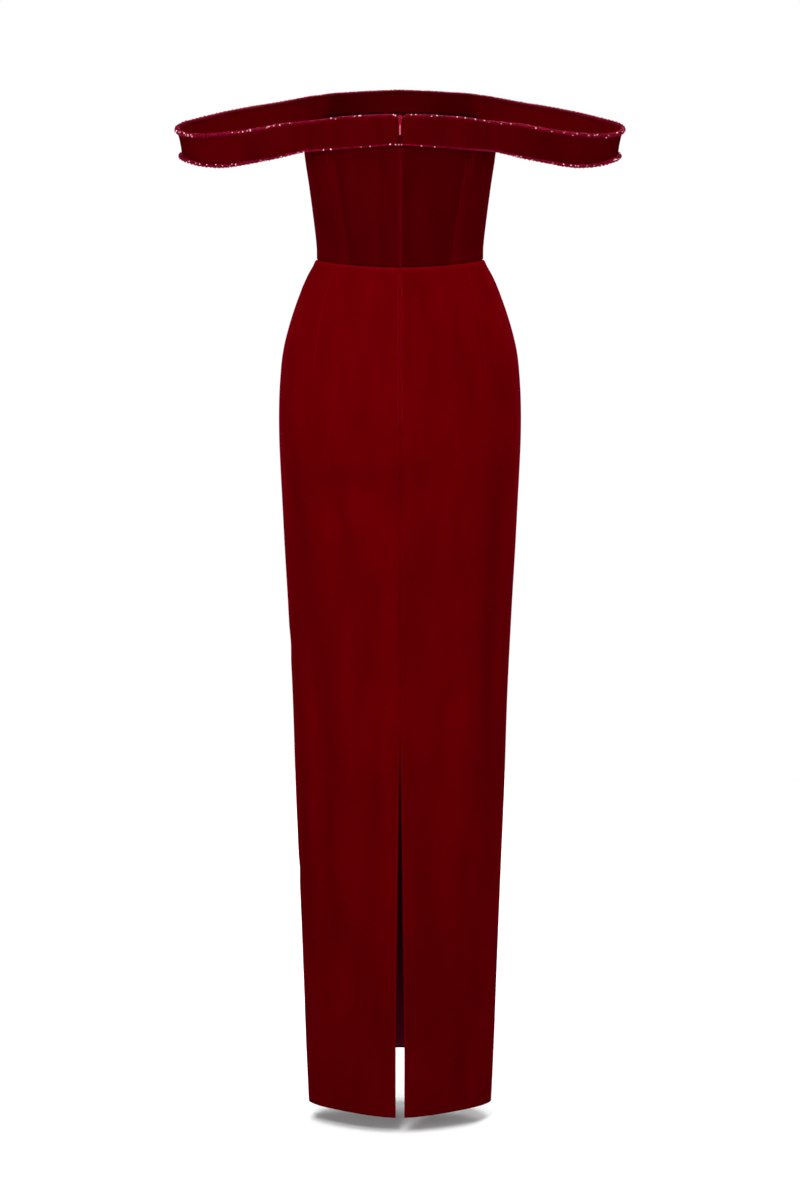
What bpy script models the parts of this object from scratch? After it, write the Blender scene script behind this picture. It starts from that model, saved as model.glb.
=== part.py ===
"""A velvet bustier gown with an off-the-shoulder band, filled out as it is when worn.

Metres, +Z up. The front faces -Y, the wearer's left is +X, and the origin is the middle of the waist,
where the wearer holds the gown. An angle round the body runs from the centre back (0) over the
wearer's left side (90) to the centre front (180); the wearer's right side has negative angles.
"""
import bpy
import bmesh
import math
from collections import namedtuple
from mathutils import Vector

CLOTH = 0.0015              # velvet with its backing
BAND_CLOTH = 0.0030         # velvet doubled over
LINING_CLOTH = 0.0010
SEAM_GAP = 0.0003
WAIST_RISE = 0.0030         # the waist seam is this far above the origin at the sides
WAIST_DIP_BACK = 0.0080     # and sinks from there towards the zip
WAIST_DIP_FRONT = 0.004
DIP_REACH = 0.15            # how far above and below the seam this is felt
HEM = -1.2385
HEM_RISE_FRONT = 0.052      # the front hem clears the toes
HEM_DROP_BACK = 0.0035
HEM_EASE_FROM = -0.60       # the hem's slant is shared out below this height
ZIP_HALF_GAP = 0.0007
ZIP_TOP = 0.1960
ZIP_END = -0.231
ZIP_TAPE_WIDTH = 0.014
ZIP_TAPE_THICK = 0.0010
ZIP_TAPE_BOW = 0.0003       # its edges lie this much further in, round the back
ZIP_TAPE_ROWS = 24
SLIT_TOP = -0.625
TRIM_THICK = 0.0050         # rope of small beads along both edges of the band
TRIM_SIT = TRIM_THICK + SEAM_GAP
HUG_GAP = 0.0008            # between the bodice and the band round it
LINING_TOP = -0.56
LINING_HEM_UP = 0.004
LINING_START = 96.0         # angle at which the front lining begins, just past the side seam

BUST_SIDE = 0.086
BUST_HEIGHT = 0.160
BUST_PUSH = 0.029
BUST_SPREAD = 0.050
BUST_SPREAD_UP = 0.058
BUST_FROM = 0.055           # the cups have faded in this far forward of the side seams

Section = namedtuple("Section", "height half back front power_back power_front")
BODICE = [
    Section(0.000, 0.1185, 0.0795, 0.0870, 2.15, 2.15),
    Section(0.0194, 0.1188, 0.0800, 0.0880, 2.15, 2.15),
    Section(0.0633, 0.1236, 0.0850, 0.0945, 2.15, 2.15),
    Section(0.1061, 0.1291, 0.0900, 0.1000, 2.15, 2.15),
    Section(0.150, 0.1353, 0.0940, 0.1040, 2.15, 2.15),
    Section(0.200, 0.1395, 0.0965, 0.1050, 2.15, 2.15),
    Section(0.255, 0.1425, 0.0970, 0.1010, 2.15, 2.15),
]
SKIRT = [
    Section(0.000, 0.1185, 0.0795, 0.0870, 2.15, 2.15),
    Section(-0.0225, 0.1318, 0.0905, 0.0940, 2.15, 2.15),
    Section(-0.0431, 0.1411, 0.0985, 0.0990, 2.18, 2.15),
    Section(-0.0853, 0.1563, 0.1095, 0.1045, 2.20, 2.15),
    Section(-0.1275, 0.1672, 0.1165, 0.1080, 2.20, 2.15),
    Section(-0.170, 0.1718, 0.1205, 0.1095, 2.20, 2.15),
    Section(-0.212, 0.1736, 0.1225, 0.1100, 2.20, 2.15),
    Section(-0.255, 0.1734, 0.1205, 0.1100, 2.20, 2.15),
    Section(-0.298, 0.1718, 0.1155, 0.1095, 2.15, 2.10),
    Section(-0.340, 0.1698, 0.1090, 0.1090, 2.10, 2.10),
    Section(-0.408, 0.1667, 0.1010, 0.1085, 2.05, 2.05),
    Section(-0.495, 0.1621, 0.0950, 0.1075, 2.00, 2.00),
    Section(-0.625, 0.1563, 0.0885, 0.1060, 1.90, 1.95),
    Section(-0.760, 0.1526, 0.0840, 0.1045, 1.78, 1.90),
    Section(-0.900, 0.1474, 0.0800, 0.1030, 1.70, 1.90),
    Section(-1.040, 0.1425, 0.0765, 0.1015, 1.64, 1.90),
    Section(-1.150, 0.1390, 0.0740, 0.1005, 1.60, 1.90),
    Section(-1.260, 0.1345, 0.0715, 0.0995, 1.58, 1.90),
]

Opening = namedtuple("Opening", "height half_gap")
SLIT = [
    Opening(SLIT_TOP, SEAM_GAP / 2), Opening(-0.707, 0.0010), Opening(-0.920, 0.0042),
    Opening(-1.100, 0.0065), Opening(-1.300, 0.0067),
]

SeamPoint = namedtuple("SeamPoint", "height angle")
BACK_SEAM = [SeamPoint(0.0, 42.5), SeamPoint(0.155, 47.5), SeamPoint(0.25, 49.0)]
FRONT_SEAM = [SeamPoint(0.0, 147.0), SeamPoint(0.10, 142.5), SeamPoint(0.16, 140.0), SeamPoint(0.25, 138.0)]
BACK_DART = [SeamPoint(-0.165, 42.5), SeamPoint(0.0, 47.5)]
FRONT_DART = [SeamPoint(-0.125, 139.0), SeamPoint(0.0, 143.0)]
DART_SINK = 0.0009
DART_FADE = 0.05
CHANNEL_WIDTH = 0.010       # boning channel beside each princess seam
CHANNEL_RISE = 0.0007
CHANNEL_SHOULDER = 0.0012
CHANNEL_TOP = 0.148         # the channel flattens where the band covers it
CHANNEL_FADE = 0.012

NeckPoint = namedtuple("NeckPoint", "angle height")
BODICE_TOP = [
    NeckPoint(0, 0.180), NeckPoint(25, 0.1765), NeckPoint(48, 0.1725), NeckPoint(62, 0.166),
    NeckPoint(76, 0.159), NeckPoint(90, 0.157), NeckPoint(102, 0.160), NeckPoint(113, 0.176),
    NeckPoint(122, 0.198), NeckPoint(134, 0.208), NeckPoint(155, 0.2115), NeckPoint(180, 0.213),
]

# Where the band lies on the bodice it is placed by angle, and where it runs free round the arm by x and y.
# Its top and bottom are those of the bead trims on its edges.
OnBodice = namedtuple("OnBodice", "angle top bottom")
RoundArm = namedtuple("RoundArm", "x y top bottom")
BAND_BACK = [
    OnBodice(0, 0.2070, 0.1628), OnBodice(12, 0.2064, 0.1612), OnBodice(24, 0.2051, 0.1592),
    OnBodice(35, 0.2035, 0.1575), OnBodice(45, 0.2012, 0.1562),
]
BAND_LOOP = [
    RoundArm(0.1140, 0.0605, 0.1995, 0.1552), RoundArm(0.1310, 0.0520, 0.1980, 0.1540),
    RoundArm(0.1500, 0.0460, 0.1960, 0.1502), RoundArm(0.175, 0.0425, 0.1930, 0.1447),
    RoundArm(0.210, 0.0405, 0.1865, 0.1385), RoundArm(0.248, 0.0370, 0.1816, 0.1332),
    RoundArm(0.282, 0.0290, 0.1795, 0.1352), RoundArm(0.305, 0.0170, 0.1826, 0.1416),
    RoundArm(0.3135, 0.0, 0.1895, 0.1478), RoundArm(0.305, -0.0170, 0.1970, 0.1530),
    RoundArm(0.282, -0.0300, 0.2040, 0.1590), RoundArm(0.248, -0.0420, 0.2125, 0.1670),
    RoundArm(0.210, -0.0520, 0.2200, 0.1740), RoundArm(0.175, -0.0600, 0.2258, 0.1800),
    RoundArm(0.150, -0.0665, 0.2305, 0.1850), RoundArm(0.1320, -0.0740, 0.2340, 0.1885),
    RoundArm(0.1165, -0.0840, 0.2365, 0.1910),
]
BAND_FRONT = [
    OnBodice(136, 0.2388, 0.1933), OnBodice(146, 0.2405, 0.1950), OnBodice(157, 0.2422, 0.1967),
    OnBodice(168, 0.2436, 0.1980), OnBodice(180, 0.2446, 0.1990),
]
LOOP_LEAN_FROM = 0.20       # beyond this the loop's bottom edge draws in towards the wearer
LOOP_LEAN = 0.055           # for each metre further out
BAND_STATIONS = 52          # along one half of the band, centre back to centre front
BAND_END = 0.0020           # from the centre back to the band's end beside the zip
BAND_CORNER_DEPTH = 0.0045  # the top corner there is cut away
TRIM_END = 0.0080           # from the centre back to the beads' ends

SLIDER_WIDTH = 0.0050
SLIDER_DEPTH = 0.0030
SLIDER_HEIGHT = 0.0095
SLIDER_MIDDLE = 0.19935
BAIL_RADIUS = 0.0024        # the arch on the slider's face that the pull tab hangs on
BAIL_WIRE = 0.0004
PULL_AXIS = 0.1975
PULL_AXIS_OUT = 0.00085     # from the slider's face
BAIL_ABOVE_AXIS = 0.0006
PULL_WIDTH = 0.0034
PULL_TIP = 0.0200           # below the axis
PULL_BAR = 0.0004           # half the height of the bar above the tab's hole
PULL_THICK = 0.0009
PULL_HOLE_WIDTH = 0.0016
PULL_HOLE_END = 0.0031      # below the axis

RED_VELVET = (0.105, 0.001, 0.004)
DEEP_VELVET = (0.070, 0.001, 0.003)
BURGUNDY_SATIN = (0.045, 0.002, 0.010)
CRIMSON_BEADS = (0.240, 0.010, 0.025)
PLUM_TAPE = (0.090, 0.003, 0.030)
WINE_METAL = (0.160, 0.010, 0.020)

for old in list(bpy.data.objects):
    bpy.data.objects.remove(old, do_unlink=True)
gown = bpy.data.collections.new("bustier_gown")
bpy.context.scene.collection.children.link(gown)


def material(name, colour, roughness, metallic=0.0):
    made = bpy.data.materials.new(name)
    made.use_nodes = True
    shader = made.node_tree.nodes["Principled BSDF"]
    shader.inputs["Base Color"].default_value = (*colour, 1.0)
    shader.inputs["Roughness"].default_value = roughness
    shader.inputs["Metallic"].default_value = metallic
    return made


def keep(name, data, colour, roughness, metallic=0.0):
    """Put finished mesh or curve data in the gown's collection as one named piece."""
    piece = bpy.data.objects.new(name, data)
    gown.objects.link(piece)
    data.materials.append(material(name + "_finish", colour, roughness, metallic))
    return piece


def read_table(table, at):
    """The rows of a table joined by smooth curves: every column but the first, at one place."""
    rows = table if table[0][0] < table[-1][0] else table[::-1]
    at = min(max(at, rows[0][0]), rows[-1][0])
    i = max(k for k in range(len(rows) - 1) if rows[k][0] <= at)
    before, here, there, after = rows[max(i - 1, 0)], rows[i], rows[i + 1], rows[min(i + 2, len(rows) - 1)]
    span = there[0] - here[0]
    t = (at - here[0]) / span
    values = []
    for column in range(1, len(here)):
        leave = (there[column] - before[column]) / (there[0] - before[0]) * span
        arrive = (after[column] - here[column]) / (after[0] - here[0]) * span
        values.append((2 * t**3 - 3 * t**2 + 1) * here[column] + (t**3 - 2 * t**2 + t) * leave
                      + (3 * t**2 - 2 * t**3) * there[column] + (t**3 - t**2) * arrive)
    return values


def bust(x, y, height):
    """How far the cups push the front out at one place."""
    forward = min(1.0, max(0.0, -y / BUST_FROM))
    spread_z = BUST_SPREAD_UP if height > BUST_HEIGHT else BUST_SPREAD
    across = (abs(x) - BUST_SIDE) / BUST_SPREAD
    up = (height - BUST_HEIGHT) / spread_z
    return BUST_PUSH * forward**2 * (3 - 2 * forward) * math.exp(-across**2 - up**2)


def on_body(table, angle, height):
    """A point of the gown's outer surface: height is measured from the waist seam."""
    half, back, front, power_back, power_front = read_table(table, height)
    s, c = math.sin(math.radians(angle)), math.cos(math.radians(angle))
    depth, power = (back, power_back) if c > 0 else (front, power_front)
    r = (abs(s)**power + abs(c)**power) ** (-1 / power)
    x, y = half * r * s, depth * r * c
    if table is BODICE:
        y -= bust(x, y, height)
    seam = WAIST_RISE - WAIST_DIP_BACK * max(c, 0)**2.2 - WAIST_DIP_FRONT * max(-c, 0)**1.5
    z = height + seam * max(0.0, 1 - abs(height) / DIP_REACH)
    return Vector((x, y, z))


def outward(table, angle, height):
    """The surface's direction at a point, away from the wearer."""
    step_angle, step_height = 0.5, 0.001
    around = on_body(table, angle + step_angle, height) - on_body(table, angle - step_angle, height)
    up = on_body(table, angle, height + step_height) - on_body(table, angle, height - step_height)
    return up.cross(around).normalized()


def angle_step(table, angle, height, distance):
    """The change of angle that moves a point by a distance round the body."""
    pace = (on_body(table, angle + 0.5, height) - on_body(table, angle - 0.5, height)).length
    return distance / pace


def zip_edge(height):
    """Half the gap at the centre back: the zip, then the closed seam, then the slit."""
    if height > ZIP_END:
        return ZIP_HALF_GAP
    if height > SLIT_TOP:
        return SEAM_GAP / 2
    return read_table(SLIT, height)[0]


def hem_height(angle):
    c = math.cos(math.radians(angle))
    return HEM + HEM_RISE_FRONT * max(-c, 0)**1.4 - HEM_DROP_BACK * max(c, 0)**6


def cloth(name, columns, rows, place, thickness, colour, roughness=0.85):
    """A wall of cloth on a grid of columns and rows, the rows counted from the top edge.

    place(i, j) gives a point of the outer face and its direction away from the wearer. The inner face
    is the outer one moved back along those directions, so neighbours stay parallel at their seams.
    """
    bm = bmesh.new()
    bmesh.ops.create_grid(bm, x_segments=columns, y_segments=rows, size=0.5)
    inner = bmesh.ops.extrude_face_region(bm, geom=bm.faces[:], use_keep_orig=True)["geom"]
    inner = {part for part in inner if isinstance(part, bmesh.types.BMVert)}
    for vertex in bm.verts:
        i, j = round((vertex.co.x + 0.5) * columns), round((vertex.co.y + 0.5) * rows)
        point, direction = place(i, j)
        vertex.co = point - direction * (thickness if vertex in inner else 0.0)
    bmesh.ops.recalc_face_normals(bm, faces=bm.faces[:])
    if bm.calc_volume(signed=True) < 0:
        bmesh.ops.reverse_faces(bm, faces=bm.faces[:])
    mesh = bpy.data.meshes.new(name)
    bm.to_mesh(mesh)
    bm.free()
    mesh.shade_smooth()
    mesh.set_sharp_from_angle(angle=math.radians(40))
    return keep(name, mesh, colour, roughness)


def spread_columns(lines, counts):
    """Columns between the lines of a panel: for each, the line before it and how far it is to the next."""
    places = []
    for k, count in enumerate(counts):
        places += [(k, n / count) for n in range(count)]
    return places + [(len(lines) - 2, 1.0)]


def panel(name, table, heights, lines, counts, colour, relief=None):
    """One cut piece between lines, each a function of height that gives an angle.

    heights(angle, fraction) gives the rows, and relief a rise for each line at a height.
    """
    places = spread_columns(lines, counts)
    rows = len(heights.levels)

    def place(i, j):
        k, t = places[i]
        middle = (lines[0](0.0) + lines[-1](0.0)) / 2
        angle, height = middle, 0.0
        for _ in range(3):
            height = heights(angle, j)
            angle = lines[k](height) * (1 - t) + lines[k + 1](height) * t
        rise = 0.0
        if relief:
            rise = relief(k, height) * (1 - t) + relief(k + 1, height) * t
        direction = outward(table, angle, height)
        return on_body(table, angle, height) + direction * rise, direction

    return cloth(name, len(places) - 1, rows - 1, place, CLOTH, colour)


class BodiceRows:
    """Heights from the bodice's top edge down to the waist seam."""
    levels = [1.0, 0.93, 0.86, 0.79, 0.72, 0.65, 0.57, 0.48, 0.38, 0.26, 0.13, 0.0]

    def __call__(self, angle, j):
        top = read_table(BODICE_TOP, abs(angle))[0]
        return SEAM_GAP / 2 + (top - SEAM_GAP / 2) * self.levels[j]


class SkirtRows:
    """Heights from the waist seam down to the hem, which slants up towards the front."""
    levels = [-SEAM_GAP / 2, -0.010, -0.022, -0.040, -0.062, -0.090, -0.125, -0.165, -0.210, -0.255, -0.300,
              -0.350, -0.410, -0.480, -0.550, SLIT_TOP, -0.690, -0.760, -0.840, -0.920, -1.000, -1.080,
              -1.160, HEM]

    def __call__(self, angle, j):
        level = self.levels[j]
        ease = max(0.0, (HEM_EASE_FROM - level) / (HEM_EASE_FROM - HEM))
        return level + (hem_height(angle) - HEM) * ease


def seam_line(table, seam, side, gap_side, shift=0.0):
    """A seam as a function of height: its own angle, less half the gap and any shift round the body."""
    def line(height):
        angle = side * read_table(seam, height)[0]
        move = gap_side * (SEAM_GAP / 2 + shift)
        return angle + math.copysign(1, move) * angle_step(table, angle, height, abs(move))
    return line


def side_line(table, side, gap_side):
    def line(height):
        return side * 90 + gap_side * angle_step(table, side * 90, height, SEAM_GAP / 2)
    return line


def centre_back_line(table, side):
    def line(height):
        return side * angle_step(table, 0.0, height, zip_edge(height))
    return line


def in_order(side, lines, counts):
    """A panel's lines and columns, turned round on the wearer's right side so that angles grow."""
    if side > 0:
        return lines, counts
    return lines[::-1], counts[::-1]


def bodice_panels():
    rows = BodiceRows()
    inner, outer = CHANNEL_SHOULDER, CHANNEL_WIDTH - CHANNEL_SHOULDER

    def channel(k, height):
        """Both middle lines of the four across the channel stand proud, from either side of the piece."""
        raised = min(1.0, max(0.0, (CHANNEL_TOP - height) / CHANNEL_FADE))
        return CHANNEL_RISE * raised if k in ridge else 0.0

    for side, word in ((1, "left"), (-1, "right")):
        back = [centre_back_line(BODICE, side)]
        back += [seam_line(BODICE, BACK_SEAM, side, -side, d) for d in (CHANNEL_WIDTH, outer, inner, 0.0)]
        ridge = (2, 3) if side > 0 else (1, 2)
        lines, counts = in_order(side, back, [5, 1, 1, 1])
        panel("bodice_back_centre_" + word, BODICE, rows, lines, counts, DEEP_VELVET, channel)
        back_side = [seam_line(BODICE, BACK_SEAM, side, side), side_line(BODICE, side, -side)]
        lines, counts = in_order(side, back_side, [6])
        panel("bodice_back_side_" + word, BODICE, rows, lines, counts, DEEP_VELVET)
        front_side = [side_line(BODICE, side, side), seam_line(BODICE, FRONT_SEAM, side, -side)]
        lines, counts = in_order(side, front_side, [10])
        panel("bodice_front_side_" + word, BODICE, rows, lines, counts, DEEP_VELVET)
    lines = [seam_line(BODICE, FRONT_SEAM, 1, 1),
             lambda height: 360 + seam_line(BODICE, FRONT_SEAM, -1, -1)(height)]
    panel("bodice_front_centre", BODICE, FoldedRows(rows), lines, [14], DEEP_VELVET)


class FoldedRows:
    """The same rows for a piece that crosses the centre front, where angles run past 180."""

    def __init__(self, rows):
        self.rows = rows
        self.levels = rows.levels

    def __call__(self, angle, j):
        return self.rows(180 - abs(180 - angle), j)


def dart_relief(dart, lines):
    """A dart sinks along its own line, or lines, of a panel and fades out at its point."""
    def relief(k, height):
        if k not in lines:
            return 0.0
        return -DART_SINK * min(1.0, max(0.0, (height - dart[0].height) / DART_FADE))
    return relief


def skirt_panels():
    rows = SkirtRows()
    for side, word in ((1, "left"), (-1, "right")):
        lines, counts = in_order(side, [centre_back_line(SKIRT, side), seam_line(SKIRT, BACK_DART, side, 0.0),
                                        side_line(SKIRT, side, -side)], [6, 7])
        panel("skirt_back_" + word, SKIRT, rows, lines, counts, RED_VELVET, dart_relief(BACK_DART, (1,)))
    lines = [side_line(SKIRT, 1, 1), seam_line(SKIRT, FRONT_DART, 1, 0.0),
             lambda height: 360 + seam_line(SKIRT, FRONT_DART, -1, 0.0)(height),
             lambda height: 360 + side_line(SKIRT, -1, -1)(height)]
    panel("skirt_front", SKIRT, FoldedRows(rows), lines, [7, 12, 7], RED_VELVET,
          dart_relief(FRONT_DART, (1, 2)))


def skirt_lining():
    """Satin inside the front of the skirt, seen through the slit and at the hem."""
    rows = FoldedRows(SkirtRows())
    first = next(j for j, level in enumerate(rows.levels) if level < LINING_TOP)
    levels = range(first, len(rows.levels))
    columns = 18
    inset = CLOTH + SEAM_GAP

    def place(i, j):
        angle = LINING_START + (360 - 2 * LINING_START) * i / columns
        height = rows(angle, levels[j])
        if j == len(levels) - 1:
            height += LINING_HEM_UP
        direction = outward(SKIRT, angle, height)
        return on_body(SKIRT, angle, height) - direction * inset, direction

    cloth("skirt_lining_front", columns, len(levels) - 1, place, LINING_CLOTH, BURGUNDY_SATIN, 0.35)


def curve_through(points, count):
    """Evenly many points on a smooth curve that runs square to the middle plane at both ends."""
    flip = Vector((-1, 1, 1))
    padded = [points[1] * flip, *points, points[-2] * flip]
    made = []
    for n in range(count + 1):
        place = n * (len(points) - 1) / count
        i = min(int(place), len(points) - 2)
        t = place - i
        a, b, c, d = padded[i:i + 4]
        made.append(0.5 * (2 * b + (c - a) * t + (2 * a - 5 * b + 4 * c - d) * t**2
                           + (3 * b - a - 3 * c + d) * t**3))
    return made


def band_line(part, beyond):
    """The turning points of the band's inner face at one height, from the centre back to the centre front.

    part runs from 0 at the cloth's bottom edge to 1 at its top, and beyond is a height above that.
    """
    points = []
    for row in BAND_BACK + BAND_LOOP + BAND_FRONT:
        low, high = row.bottom + TRIM_SIT, row.top - TRIM_SIT
        z = low + (high - low) * part + beyond
        if isinstance(row, OnBodice):
            direction = outward(BODICE, row.angle, z)
            direction.z = 0
            points.append(on_body(BODICE, row.angle, z) + direction.normalized() * HUG_GAP)
        else:
            lean = LOOP_LEAN * max(0.0, row.x - LOOP_LEAN_FROM) * (1 - part)
            points.append(Vector((row.x - lean, row.y, z)))
    return points


def loop_outward(points, i):
    """Level direction square to the band at one of its points, away from the wearer or the arm."""
    before, after = points[max(i - 1, 0)], points[min(i + 1, len(points) - 1)]
    along = after - before
    if i == 0 or i == len(points) - 1:
        along = Vector((1 if i == 0 else -1, 0, 0))
    return Vector((-along.y, along.x, 0)).normalized()


def band_row(part, out, beyond=0.0):
    """Points along half the band at one height of it, moved out from its inner face."""
    inner = curve_through(band_line(part, beyond), BAND_STATIONS)
    return [point + loop_outward(inner, i) * out for i, point in enumerate(inner)]


def both_halves(half_row):
    """The wearer's left half from the centre back, then the right half back to it."""
    mirrored = [Vector((-p.x, p.y, p.z)) for p in reversed(half_row[:-1])]
    return half_row + mirrored


def trim_corner(row, part):
    """Move the band's ends to each side of the zip and cut away their top corners."""
    for end, direction in ((0, 1), (-1, -1)):
        row[end].x = direction * BAND_END
        if part == 1.0:
            row[end].z -= BAND_CORNER_DEPTH
    return row


def shoulder_band():
    parts = [1.0, 0.75, 0.5, 0.25, 0.0]
    outer = [trim_corner(both_halves(band_row(part, BAND_CLOTH)), part) for part in parts]
    inner = [trim_corner(both_halves(band_row(part, 0.0)), part) for part in parts]

    def place(i, j):
        return outer[j][i], (outer[j][i] - inner[j][i]).normalized()

    cloth("shoulder_band", len(outer[0]) - 1, len(parts) - 1, place, BAND_CLOTH, DEEP_VELVET)


def bead_trim(name, part, beyond, out):
    """A rope of beads along one edge, a plain tube here."""
    row = both_halves(band_row(part, out, beyond))
    row[0].x = TRIM_END
    row[-1].x = -row[0].x
    data = bpy.data.curves.new(name, 'CURVE')
    data.dimensions = '3D'
    spline = data.splines.new('POLY')
    spline.points.add(len(row) - 1)
    for point, place in zip(spline.points, row):
        point.co = (*place, 1.0)
    data.bevel_depth = TRIM_THICK / 2
    data.bevel_resolution = 1
    data.use_fill_caps = True
    keep(name, data, CRIMSON_BEADS, 0.3)


def bead_trims():
    middle = BAND_CLOTH / 2
    bead_trim("bead_trim_upper", 1.0, TRIM_SIT / 2 + SEAM_GAP / 2, middle)
    bead_trim("bead_trim_lower", 0.0, -TRIM_SIT / 2 - SEAM_GAP / 2, TRIM_THICK / 2 + SEAM_GAP)


def zip_tape():
    """The tape and coil inside the centre back, from the band down to the zip's end."""
    inset = CLOTH + 2 * SEAM_GAP

    def place(i, j):
        height = ZIP_TOP + (ZIP_END - ZIP_TOP) * j / ZIP_TAPE_ROWS
        middle = on_body(BODICE if height > 0 else SKIRT, 0.0, height)
        x = ZIP_TAPE_WIDTH * (i - 1) / 2
        y = middle.y - inset - ZIP_TAPE_BOW * abs(i - 1)
        return Vector((x, y, middle.z)), Vector((0, 1, 0))

    cloth("zip_tape", 2, ZIP_TAPE_ROWS, place, ZIP_TAPE_THICK, PLUM_TAPE, 0.6)


def band_face():
    """y of the band's outer face beside the zip, behind the slider."""
    bottom, top = BAND_BACK[0].bottom, BAND_BACK[0].top
    return band_row((SLIDER_MIDDLE - bottom) / (top - bottom), BAND_CLOTH)[0].y


def zip_slider():
    """The slider's body with an arched bail on its face; gives y of that face."""
    back = band_face() + SEAM_GAP
    face = back + SLIDER_DEPTH
    bpy.ops.mesh.primitive_cube_add(size=1, location=(0, (back + face) / 2, SLIDER_MIDDLE))
    body = bpy.context.object
    body.scale = (SLIDER_WIDTH, SLIDER_DEPTH, SLIDER_HEIGHT)
    bpy.ops.object.transform_apply(location=True, rotation=False, scale=True)
    edges = body.modifiers.new("rounded", 'BEVEL')
    edges.width = 0.0006
    edges.segments = 2
    bpy.ops.mesh.primitive_torus_add(major_radius=BAIL_RADIUS, minor_radius=BAIL_WIRE, major_segments=24,
                                     minor_segments=8, location=(0, face, PULL_AXIS + BAIL_ABOVE_AXIS),
                                     rotation=(0, math.pi / 2, 0))
    bail = bpy.context.object
    join = body.modifiers.new("bail", 'BOOLEAN')
    join.operation = 'UNION'
    join.object = bail
    bpy.context.view_layer.update()
    solid = bpy.data.meshes.new_from_object(body.evaluated_get(bpy.context.evaluated_depsgraph_get()))
    keep("zip_slider", solid, WINE_METAL, 0.35, 1.0)
    bpy.data.objects.remove(body, do_unlink=True)
    bpy.data.objects.remove(bail, do_unlink=True)
    return face


def round_ended(width, top, bottom):
    """Outline of an upright strip with half-round ends, between two heights."""
    radius = width / 2
    turn = [math.radians(180 * n / 8) for n in range(9)]
    over = [(radius * math.cos(a), top - radius + radius * math.sin(a)) for a in turn]
    under = [(-radius * math.cos(a), bottom + radius - radius * math.sin(a)) for a in turn]
    return over + under


def zip_pull(slider_face):
    """A flat tab with rounded ends, hung on the slider's bail by a slot near its top."""
    data = bpy.data.curves.new("zip_pull", 'CURVE')
    data.dimensions = '2D'
    data.fill_mode = 'BOTH'
    data.extrude = PULL_THICK / 2
    outline = round_ended(PULL_WIDTH, PULL_BAR, -PULL_TIP)
    slot = round_ended(PULL_HOLE_WIDTH, -PULL_BAR, -PULL_HOLE_END)
    for ring in (outline, slot):
        spline = data.splines.new('POLY')
        spline.points.add(len(ring) - 1)
        for point, (x, y) in zip(spline.points, ring):
            point.co = (x, y, 0, 1)
        spline.use_cyclic_u = True
    pull = keep("zip_pull", data, WINE_METAL, 0.35, 1.0)
    pull.location = (0, slider_face + PULL_AXIS_OUT, PULL_AXIS)
    pull.rotation_euler = (math.pi / 2, 0, 0)


bodice_panels()
skirt_panels()
skirt_lining()
shoulder_band()
bead_trims()
zip_tape()
zip_pull(zip_slider())
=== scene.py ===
"""The looks of a velvet bustier gown with an off-the-shoulder band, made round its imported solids.

Metres, +Z up, in the solids' own frame: the back with its zip faces +Y, the wearer's left is +X and the
origin is the middle of the waist. An angle round the body runs from the centre back (0) over the
wearer's left side (90) to the centre front (180); the wearer's right side has negative angles.
"""
import bmesh
import bpy
import math
import numpy as np
import random
from collections import namedtuple
from mathutils import Matrix, Vector


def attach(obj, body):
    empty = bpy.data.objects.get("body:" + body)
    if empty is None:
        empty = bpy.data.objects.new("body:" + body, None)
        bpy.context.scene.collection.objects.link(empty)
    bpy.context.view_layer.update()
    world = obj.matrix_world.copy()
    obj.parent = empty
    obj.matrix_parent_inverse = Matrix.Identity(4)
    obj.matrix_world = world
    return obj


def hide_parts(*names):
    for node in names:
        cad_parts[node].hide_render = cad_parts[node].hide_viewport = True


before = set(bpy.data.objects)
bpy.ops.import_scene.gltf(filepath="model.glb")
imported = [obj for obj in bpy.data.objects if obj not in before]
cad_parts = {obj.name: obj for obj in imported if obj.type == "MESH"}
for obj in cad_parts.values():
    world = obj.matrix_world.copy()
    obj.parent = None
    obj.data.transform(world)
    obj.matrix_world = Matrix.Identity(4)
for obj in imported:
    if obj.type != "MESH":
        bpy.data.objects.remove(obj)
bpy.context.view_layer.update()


# The bodice: seven shaped panels of velvet on a firm backing, cut to the figure and joined by princess
# seams, with a boning channel stitched down beside each back seam. The panels' edges are turned in.

CLOTH = 0.0015
SEAM_GAP = 0.0003
ALLOWANCE = 0.0002          # the turned-in edges meet behind the seams
WAIST_ALLOWANCE = 0.0014    # and the bodice's foot reaches down behind the skirt's top
EDGE_ROLL = 0.0012          # radius of a turned-in edge
EDGE_COLUMNS = [0.0, 0.00012, 0.0003, 0.0006, 0.0012, 0.0022, 0.0036]
WAIST_RISE = 0.0030         # the waist seam is this far above the origin at the sides
WAIST_DIP_BACK = 0.0080     # and sinks from there towards the zip
WAIST_DIP_FRONT = 0.004
DIP_REACH = 0.15            # how far above and below the seam this is felt
ZIP_HALF_GAP = 0.0007

BUST_SIDE = 0.086
BUST_HEIGHT = 0.160
BUST_PUSH = 0.029
BUST_SPREAD = 0.050
BUST_SPREAD_UP = 0.058
BUST_FROM = 0.055           # the cups have faded in this far forward of the side seams

CHANNEL_WIDTH = 0.010
CHANNEL_RISE = 0.0008
CHANNEL_SHOULDER = 0.0016
CHANNEL_TOP = 0.148
CHANNEL_FADE = 0.012
CHANNEL_COLUMNS = EDGE_COLUMNS + [0.0050, 0.0065, 0.0078, 0.0086, 0.0093, 0.0099, 0.0105, 0.0113, 0.0125]
STITCH_SINK = 0.0002        # a line of stitches draws the cloth in
STITCH_SPREAD = 0.0007
FOOT_SPREAD = 0.002

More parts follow.
